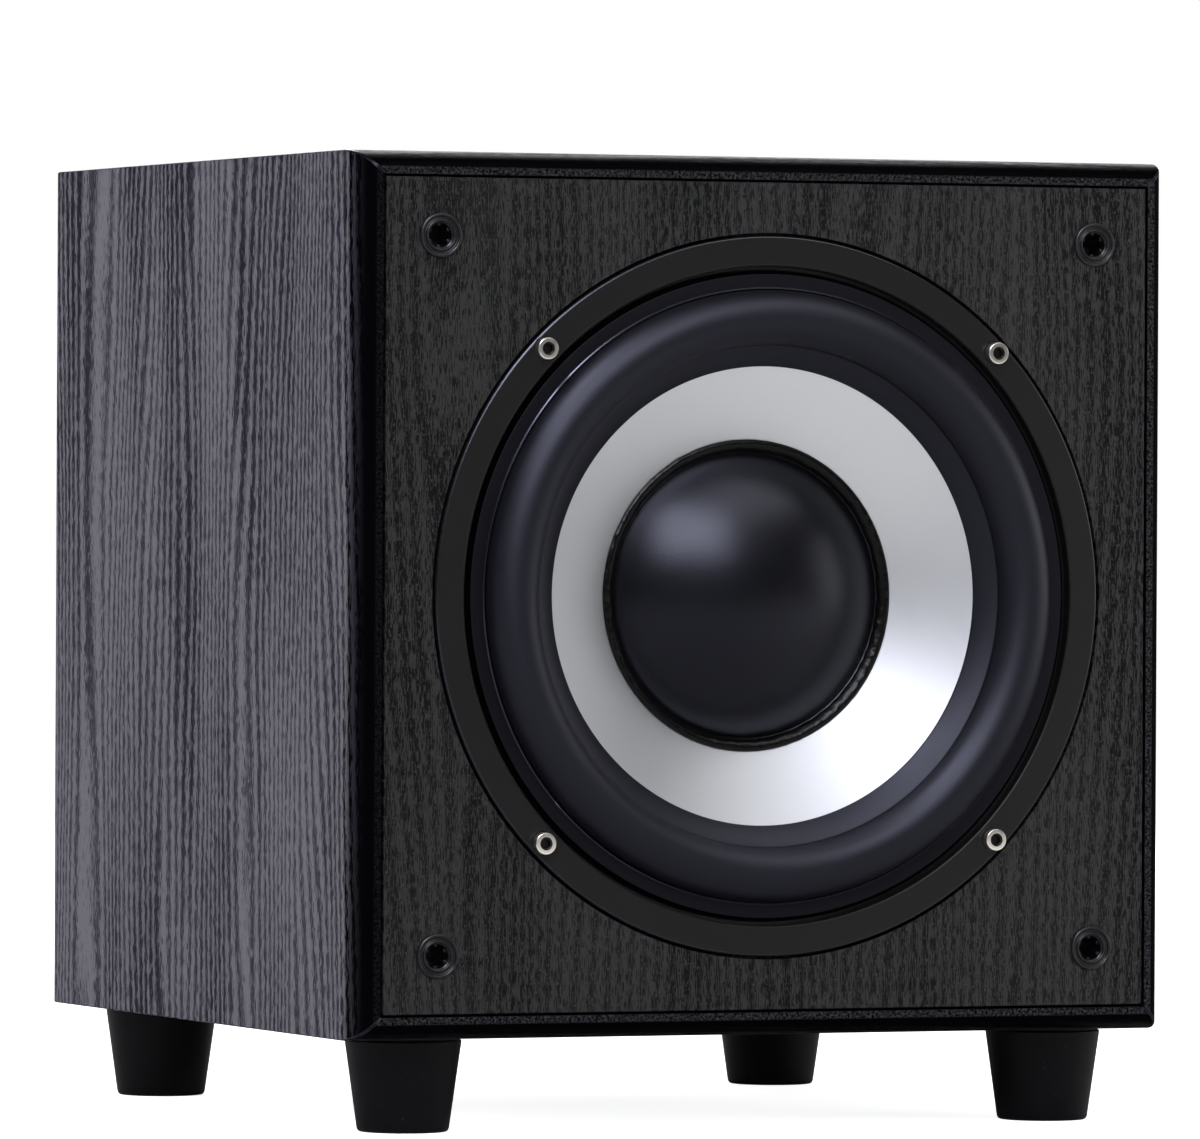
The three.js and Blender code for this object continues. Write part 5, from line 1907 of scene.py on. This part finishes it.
    def make_inputs(self) -> None:
        """The two line inputs: sleeves with a coloured ring each, on one block."""
        low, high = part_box("line_inputs")
        body = block("input_block", low, Vector((high.x, self.inner, high.z)), 0.5 * MM, 2)
        fit_out(body, self.kit.socket_plastic, "black_plastic", CABINET, "line_inputs")
        root, reach = -self.thickness - MM, self.jack_reach
        hollow, mouth, thick = 3.35 * MM, reach - 0.8 * MM, 0.9 * MM
        sleeve = [
            (hollow, reach - 0.1 * MM),
            (hollow, root),
            (self.jack, root),
            (self.jack, reach, 0.35 * MM),
            (hollow, reach, 0.2 * MM),
        ]
        insert = [
            (self.jack_bore, mouth, 0.3 * MM),
            (self.jack_bore, root),
            (hollow - 0.05 * MM, root),
            (hollow - 0.05 * MM, mouth, 0.2 * MM),
        ]
        ring = [
            (self.jack + 0.05 * MM, 0.03 * MM),
            (self.collar, 0.03 * MM),
            (self.collar, thick, 0.35 * MM),
            (self.jack + 0.05 * MM, thick, 0.1 * MM),
        ]
        kit = self.kit
        colours = (kit.red_ring, kit.white_ring)
        for side, place, colour in zip(("left", "right"), self.jack_places(), colours):
            for kind, outline, material, slot in (
                ("sleeve", sleeve, kit.nickel, "screw_nickel"),
                ("insert", insert, colour, "black_plastic"),
                ("collar", ring, kit.socket_plastic, "black_plastic"),
            ):
                made = turned(f"input_{kind}_{side}", eased(outline), place, CUP_STEPS)
                fit_out(made, material, slot, CABINET)

    def make_inlet(self) -> None:
        """The power inlet with its cavity, pins and two fixing screws."""
        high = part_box("power_inlet")[1]
        name = "power_inlet_socket"
        flange = self.shelled("power_inlet", name, self.inlet_corner, 8, self.inlet_shell)
        front = at_depth("power_inlet", high.y)
        width, height, depth = self.inlet_cavity
        chamfer = self.inlet_chamfer
        outline = [
            front + Vector((x, MM, z))
            for x, z in (
                (-width, -height),
                (width, -height),
                (width, height - chamfer),
                (width - chamfer, height),
                (chamfer - width, height),
                (-width, height - chamfer),
            )
        ]
        cavity = extruded("cavity", outline, -Y_AXIS * (depth + MM))
        combine(flange, [cavity])

        def at_mouth(a: Vector, b: Vector) -> bool:
            """Whether an edge is the cavity's, in the inlet's face.

            Args:
                a: One end of the edge.
                b: Its other end.

            Returns:
                True for an edge around the mouth.
            """
            facing = min(a.y, b.y) > high.y - MM / 20
            beside = max(abs(a.x - front.x), abs(b.x - front.x)) < width + MM / 5
            return facing and beside and max(abs(a.z - front.z), abs(b.z - front.z)) < height + MM / 5

        bevel_edges(flange, at_mouth, self.edge, 3)
        fit_out(flange, self.kit.gloss_plastic, "black_plastic", CABINET, "power_inlet")
        size = Vector((1 * MM, 0, 2 * MM))
        for name, side, lift in (("left", -1, -2), ("middle", 0, 2), ("right", 1, -2)):
            root = front + Vector((side * self.pin_spacing, -depth, lift * MM))
            tip = root + Y_AXIS * self.pin_length
            pin = block(f"inlet_pin_{name}", root - size - Y_AXIS * self.edge, tip + size)
            bevel_back(pin, tip.y, self.edge)
            fit_out(pin, self.kit.brass, "screw_nickel", CABINET)
        for name, side in (("left", -1), ("right", 1)):
            seat = front + X_AXIS * side * self.inlet_screw_spacing
            self.make_cross_screw(f"inlet_screw_{name}", seat, 2.7 * MM, 0.9 * MM, 1.5 * MM)

    def shelled(self, node: str, name: str, corner: float, steps: int, shell: Point) -> Object:
        """A rounded bezel on the plate, with a plain housing behind it.

        Args:
            node: The CAD node whose outline it takes.
            name: The piece's name.
            corner: The radius of the bezel's corners.
            steps: How many faces each corner has.
            shell: Half of the housing's width and height.

        Returns:
            The joined piece.
        """
        low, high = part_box(node)
        made = self.rounded(node, self.outer, high.y, corner, steps)
        made.name = made.data.name = name
        bevel_back(made, high.y, self.edge)
        half = Vector((shell[0], 0, shell[1]))
        ends = at_depth(node, low.y) - half, at_depth(node, self.outer + MM) + half
        return combine(made, [block("shell", *ends)], "UNION")

    def make_cross_screw(
        self, name: str, seat: Vector, head: float, height: float, length: float, *nodes: str
    ) -> None:
        """A pan head screw with a cross recess.

        Args:
            name: Its name.
            seat: The middle of its seat.
            head: Its head's radius.
            height: Its head's height.
            length: Its shank's length.
            *nodes: The CAD nodes that it replaces.
        """
        shank = min(self.screw_shank, head * 0.6)
        outline = [
            (0.0, -length),
            (shank - 0.3 * MM, -length),
            (shank, -length + 0.5 * MM),
            (shank, 0.0),
            (head - 0.15 * MM, 0.0),
            (head, 0.2 * MM),
            (head - 0.1 * MM, height * 0.45),
            (head - 0.55 * MM, height * 0.8),
            (head - 1.2 * MM, height * 0.96),
            (0.0, height),
        ]
        made = turned(name, outline, seat, 48, closed=False)
        tools = []
        for turn in (0, math.pi / 2):
            size = Vector((head * 0.62, height * 0.62, 0.42 * MM))
            bar = block("cross", -size, size)
            bar.rotation_euler = (0, turn + math.radians(self.cross_turn), 0)
            bar.location = seat + Y_AXIS * height * 1.1
            settle(bar)
            tools.append(bar)
        combine(made, tools)
        fit_out(made, self.kit.zinc, "steel", CABINET, *nodes)

    def make_power_switch(self) -> None:
        """The bezel and housing of the power switch, with the rocker in its well."""
        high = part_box("power_switch")[1]
        name = "power_switch_bezel"
        made = self.shelled("power_switch", name, self.switch_corner, 5, self.switch_shell)
        half = Vector(self.switch_well)
        face = at_depth("power_switch", high.y)
        pivot = face - Y_AXIS * self.pivot_depth
        well = block("well", face - half, face + half)
        hole = self.axle(self.pivot_hole, 2 * (self.rocker_width + self.pivot_reach), pivot)
        combine(made, [well, hole])
        fit_out(made, self.kit.socket_plastic, "black_plastic", CABINET, "power_switch")
        self.make_rocker(pivot)

    def axle(self, radius: float, length: float, middle: Vector) -> Object:
        """A rod along X.

        Args:
            radius: Its radius.
            length: Its length.
            middle: Its middle.

        Returns:
            The rod.
        """
        clear_selection()
        bpy.ops.mesh.primitive_cylinder_add(
            vertices=32, radius=radius, depth=length, location=middle, rotation=(0, math.pi / 2, 0)
        )
        made = bpy.context.object
        settle(made)
        return made

    def make_rocker(self, pivot: Vector) -> None:
        """The rocker, tilted so that its upper half is pressed.

        Args:
            pivot: The middle of its axle.
        """
        half, waist, belly, dip = self.rocker_half, 2.2 * MM, 3.6 * MM, 0.35 * MM
        tilt, width = math.radians(self.rocker_tilt), self.rocker_width
        ear = waist + half * math.tan(tilt)
        section = [
            (-half, ear),
            (-half / 2, (ear + waist) / 2 - dip),
            (0, waist),
            (half / 2, (ear + waist) / 2 - dip),
            (half, ear),
            (half, 0),
            (half / 2, -belly),
            (-half / 2, -belly),
            (-half, 0),
        ]
        outline = [Vector((-width, y, z)) for z, y in section]
        made = extruded("power_rocker_cap", outline, X_AXIS * 2 * width)
        ease_all(made, 0.45 * MM, 3, 30)
        pin = self.axle(self.pivot_pin, 2 * (width + self.pivot_reach), Vector((0, 0, 0)))
        combine(made, [pin], "UNION")
        line_middle = Vector((0, (ear + waist) / 2 - 0.25 * MM, half / 2))
        line_half = Vector((0.3 * MM, 0.3 * MM, 1.5 * MM))
        ends = line_middle - line_half, line_middle + line_half
        line = block("power_mark_on", *ends, 0.08 * MM, 1)
        for piece in (made, line):
            piece.rotation_euler = (tilt, 0, 0)
            piece.location = pivot
            settle(piece)
        fit_out(made, self.kit.gloss_plastic, "black_plastic", "rocker", "power_rocker")
        fit_out(line, self.kit.white_ink, None, "rocker")

    def make_phase(self) -> None:
        """The phase lever with three ridges, in its switch."""
        low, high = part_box("phase_lever")
        top = at_depth("phase_lever", high.y)
        dress(self.kit.zinc, "phase_switch")
        half = Vector((self.lever, 0, self.lever))
        start = at_depth("phase_lever", low.y + 1.5 * MM)
        made = block("phase_lever_cap", start - half, top + half)
        bevel_back(made, high.y, 0.4 * MM)
        size = Vector((0.18 * MM, 0.35 * MM, 2 * MM))
        tools = []
        for side in (-1, 0, 1):
            groove = top + X_AXIS * side * self.ridge_spacing
            tools.append(block("groove", groove - size, groove + size))
        combine(made, tools)
        back = Vector((high.x, self.inner - self.clearance, high.z))
        combine(made, [block("carrier", low, back, 0.2 * MM, 1)], "UNION")
        fit_out(made, self.kit.knob_plastic, "black_plastic", "phase", "phase_lever")

    def make_light(self) -> None:
        """The status light's lens."""
        low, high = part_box("status_light")
        length = high.y - low.y
        root = length - self.light_reach
        turns = [math.radians(a) for a in range(10, 81, 10)]
        dome = [(self.light * math.cos(t), root + self.light_reach * math.sin(t)) for t in turns]
        outline = [(0.0, 0.0), (self.light, 0.0), (self.light, root), *dome, (0.0, length)]
        base = at_depth("status_light", low.y)
        made = turned("status_light_lens", outline, base, 40, closed=False)
        fit_out(made, self.kit.lens, "amber_plastic", CABINET, "status_light")

    def make(self) -> None:
        """Builds and dresses the plate and all its pieces."""
        self.make_plate()
        self.make_marks()
        self.make_knobs()
        self.make_inputs()
        self.make_inlet()
        self.make_power_switch()
        self.make_phase()
        self.make_light()
        for corner in QUARTERS:
            node = f"amplifier_screw_{corner}"
            sizes = (self.screw_head, self.screw_height, self.screw_length)
            self.make_cross_screw(f"{node}_pan", self.on_plate(node), *sizes, node)
        kit = self.kit
        dress(kit.gasket_rubber, "amplifier_gasket")
        dress(kit.circuit, "circuit_board")
        dress(kit.gloss_plastic, "capacitor")
        dress(kit.tape, "transformer")
        dress(kit.wool, "damping_wadding")


# --- studio


class Reach(Enum):
    """What a softbox acts on: everything, only matt surfaces or only reflections."""

    ALL = "all"
    DIFFUSE = "diffuse"
    GLOSS = "gloss"


@dataclass(frozen=True)
class Panel:
    """A softbox: where it stands, what it faces, its size and its power."""

    name: str
    place: tuple[float, float, float]
    aim: tuple[float, float, float]
    width: float
    height: float
    watts: float
    colour: Colour = (1.0, 1.0, 1.0)
    reach: Reach = Reach.ALL
    only: tuple[str, ...] = ()

    def make(self) -> None:
        """Adds the softbox, which lights every piece or only the named ones."""
        data = bpy.data.lights.new(self.name, "AREA")
        data.shape, data.size, data.size_y = "RECTANGLE", self.width, self.height
        data.energy, data.color = self.watts, self.colour
        lamp = bpy.data.objects.new(self.name, data)
        bpy.context.scene.collection.objects.link(lamp)
        lamp.visible_glossy = self.reach is not Reach.DIFFUSE
        lamp.visible_diffuse = self.reach is not Reach.GLOSS
        lamp.visible_camera = False
        if self.only:
            lit = bpy.data.collections.new(f"lit_by_{self.name}")
            for name in self.only:
                lit.objects.link(bpy.data.objects[name])
            lamp.light_linking.receiver_collection = lit
        direction = Vector(self.aim) - Vector(self.place)
        lamp.location = self.place
        lamp.rotation_euler = direction.to_track_quat("-Z", "Y").to_euler()


@dataclass
class Studio:
    """The pale floor, the soft light and the camera, whose angles are in degrees."""

    distance: float = 3.3642
    lens: float = 319.6
    yaw: float = 22.608
    pitch: float = -0.371
    roll: float = 0.2775
    target: tuple[float, float, float] = (-0.05855, -0.1447, 0.17837)
    floor_size: float = 60.0
    world_fill: float = 0.06
    mirrored: float = 0.32

    def make_camera(self) -> None:
        """Places the camera, level with the cabinet and a little to its left."""
        yaw, pitch, roll = (math.radians(a) for a in (self.yaw, self.pitch, self.roll))
        level = math.cos(pitch)
        forward = Vector((math.sin(yaw) * level, math.cos(yaw) * level, math.sin(pitch)))
        right = Vector((math.cos(yaw), -math.sin(yaw), 0))
        up = right.cross(forward)
        across = right * math.cos(roll) + up * math.sin(roll)
        upward = up * math.cos(roll) - right * math.sin(roll)
        turn = Matrix((across, upward, -forward)).transposed().to_4x4()
        data = bpy.data.cameras.new("camera")
        data.lens, data.sensor_width, data.sensor_fit = self.lens, 36.0, "HORIZONTAL"
        data.clip_start, data.clip_end = 0.1, 200.0
        camera = bpy.data.objects.new("camera", data)
        bpy.context.scene.collection.objects.link(camera)
        place = Vector(self.target) - forward * self.distance
        camera.matrix_world = Matrix.Translation(place) @ turn
        bpy.context.scene.camera = camera

    def make_floor(self) -> None:
        """Lays the plain pale floor."""
        clear_selection()
        bpy.ops.mesh.primitive_plane_add(size=self.floor_size)
        floor = bpy.context.object
        floor.name = floor.data.name = "studio_floor"
        material, graph, shader, place = new_material("floor_paper")
        fibres = graph.noise(place, 40.0, 3.0)
        path = graph.add("ShaderNodeLightPath").outputs
        paper = graph.mix(fibres, (0.90, 0.90, 0.90), (0.92, 0.92, 0.92))
        mirrored = graph.mix(path["Is Glossy Ray"], paper, (self.mirrored,) * 3)
        graph.feed(shader.inputs["Base Color"], mirrored)
        shader.inputs["Roughness"].default_value = 0.9
        shader.inputs["Specular IOR Level"].default_value = 0.1
        seen = path["Is Camera Ray"]
        length = graph.add("ShaderNodeVectorMath", operation="LENGTH", inputs={0: place})
        far = graph.step(length.outputs["Value"], 0.25, 1.1)
        white = graph.mix(far, (0.88, 0.88, 0.88), (1.0, 1.0, 1.0))
        graph.feed(shader.inputs["Emission Color"], graph.mix(seen, (0.0, 0.0, 0.0), white))
        shader.inputs["Emission Strength"].default_value = 1.0
        floor.data.materials.append(material)

    def make_world(self) -> None:
        """Sets a white backdrop that lights the object more softly than it looks."""
        world = bpy.data.worlds.new("studio")
        bpy.context.scene.world = world
        world.use_nodes = True
        graph = Graph(world.node_tree)
        backdrop = world.node_tree.nodes["Background"]
        seen = graph.add("ShaderNodeLightPath").outputs["Is Camera Ray"]
        strength = graph.math("MULTIPLY_ADD", seen, 1.0 - self.world_fill, self.world_fill)
        backdrop.inputs["Color"].default_value = (1.0, 1.0, 1.0, 1.0)
        graph.feed(backdrop.inputs["Strength"], strength)

    def make(self) -> None:
        """Builds the whole studio."""
        self.make_camera()
        self.make_floor()
        self.make_world()
        bright = ("cone_spun", *(f"driver_screw_{corner}_cap" for corner in QUARTERS))
        matt, gloss = Reach.DIFFUSE, Reach.GLOSS
        cool, blue, violet = (0.98, 0.97, 1.0), (0.90, 0.91, 1.0), (0.86, 0.86, 1.0)
        low_place, up = (0.1, -0.5, 0.02), (0.1, -0.5, 1.0)
        for panel in (
            Panel("key_softbox", (-2.3, 0.1, 0.8), (0, 0, 0.2), 1.3, 1.5, 50, cool, matt),
            Panel("front_softbox", (-0.7, -2.1, 1.7), (0, -0.1, 0.15), 1.8, 1.2, 35, blue),
            Panel("edge_strip", (-1.0, -0.7, 1.85), (0, -0.1, 0.2), 0.8, 0.6, 17, violet, gloss),
            Panel("top_softbox", (0.7, -0.95, 1.7), (0, -0.1, 0.17), 1.3, 1.0, 5.4),
            Panel("front_right_fill", (1.0, -1.1, 0.1), (0.1, -0.14, 0.12), 0.8, 0.6, 16, reach=matt),
            Panel("right_fill", (2.2, -0.45, 0.3), (0.1, -0.1, 0.17), 1.8, 1.6, 10),
            Panel("metal_bounce", low_place, up, 0.9, 0.7, 1.2, reach=gloss, only=bright),
            Panel("back_softbox", (0.7, 2.4, 1.3), (0, 0.1, 0.15), 1.6, 1.4, 45),
        ):
            panel.make()
        bpy.context.scene.view_settings.view_transform = "Standard"


def main() -> None:
    """Builds the subwoofer and its studio, in order."""
    low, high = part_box("left_panel")
    finishes = Finishes(low.y, high.y)
    pieces = (
        CabinetWrap(finishes),
        Baffle(finishes),
        GrilleSockets(finishes),
        Feet(finishes),
        Driver(finishes),
        BackPanel(finishes),
        Port(finishes),
        AmplifierPlate(finishes),
        Studio(),
    )
    for piece in pieces:
        piece.make()
        log.info("%s is done", type(piece).__name__)
    clear_selection()


if __name__ == "__main__":
    main()
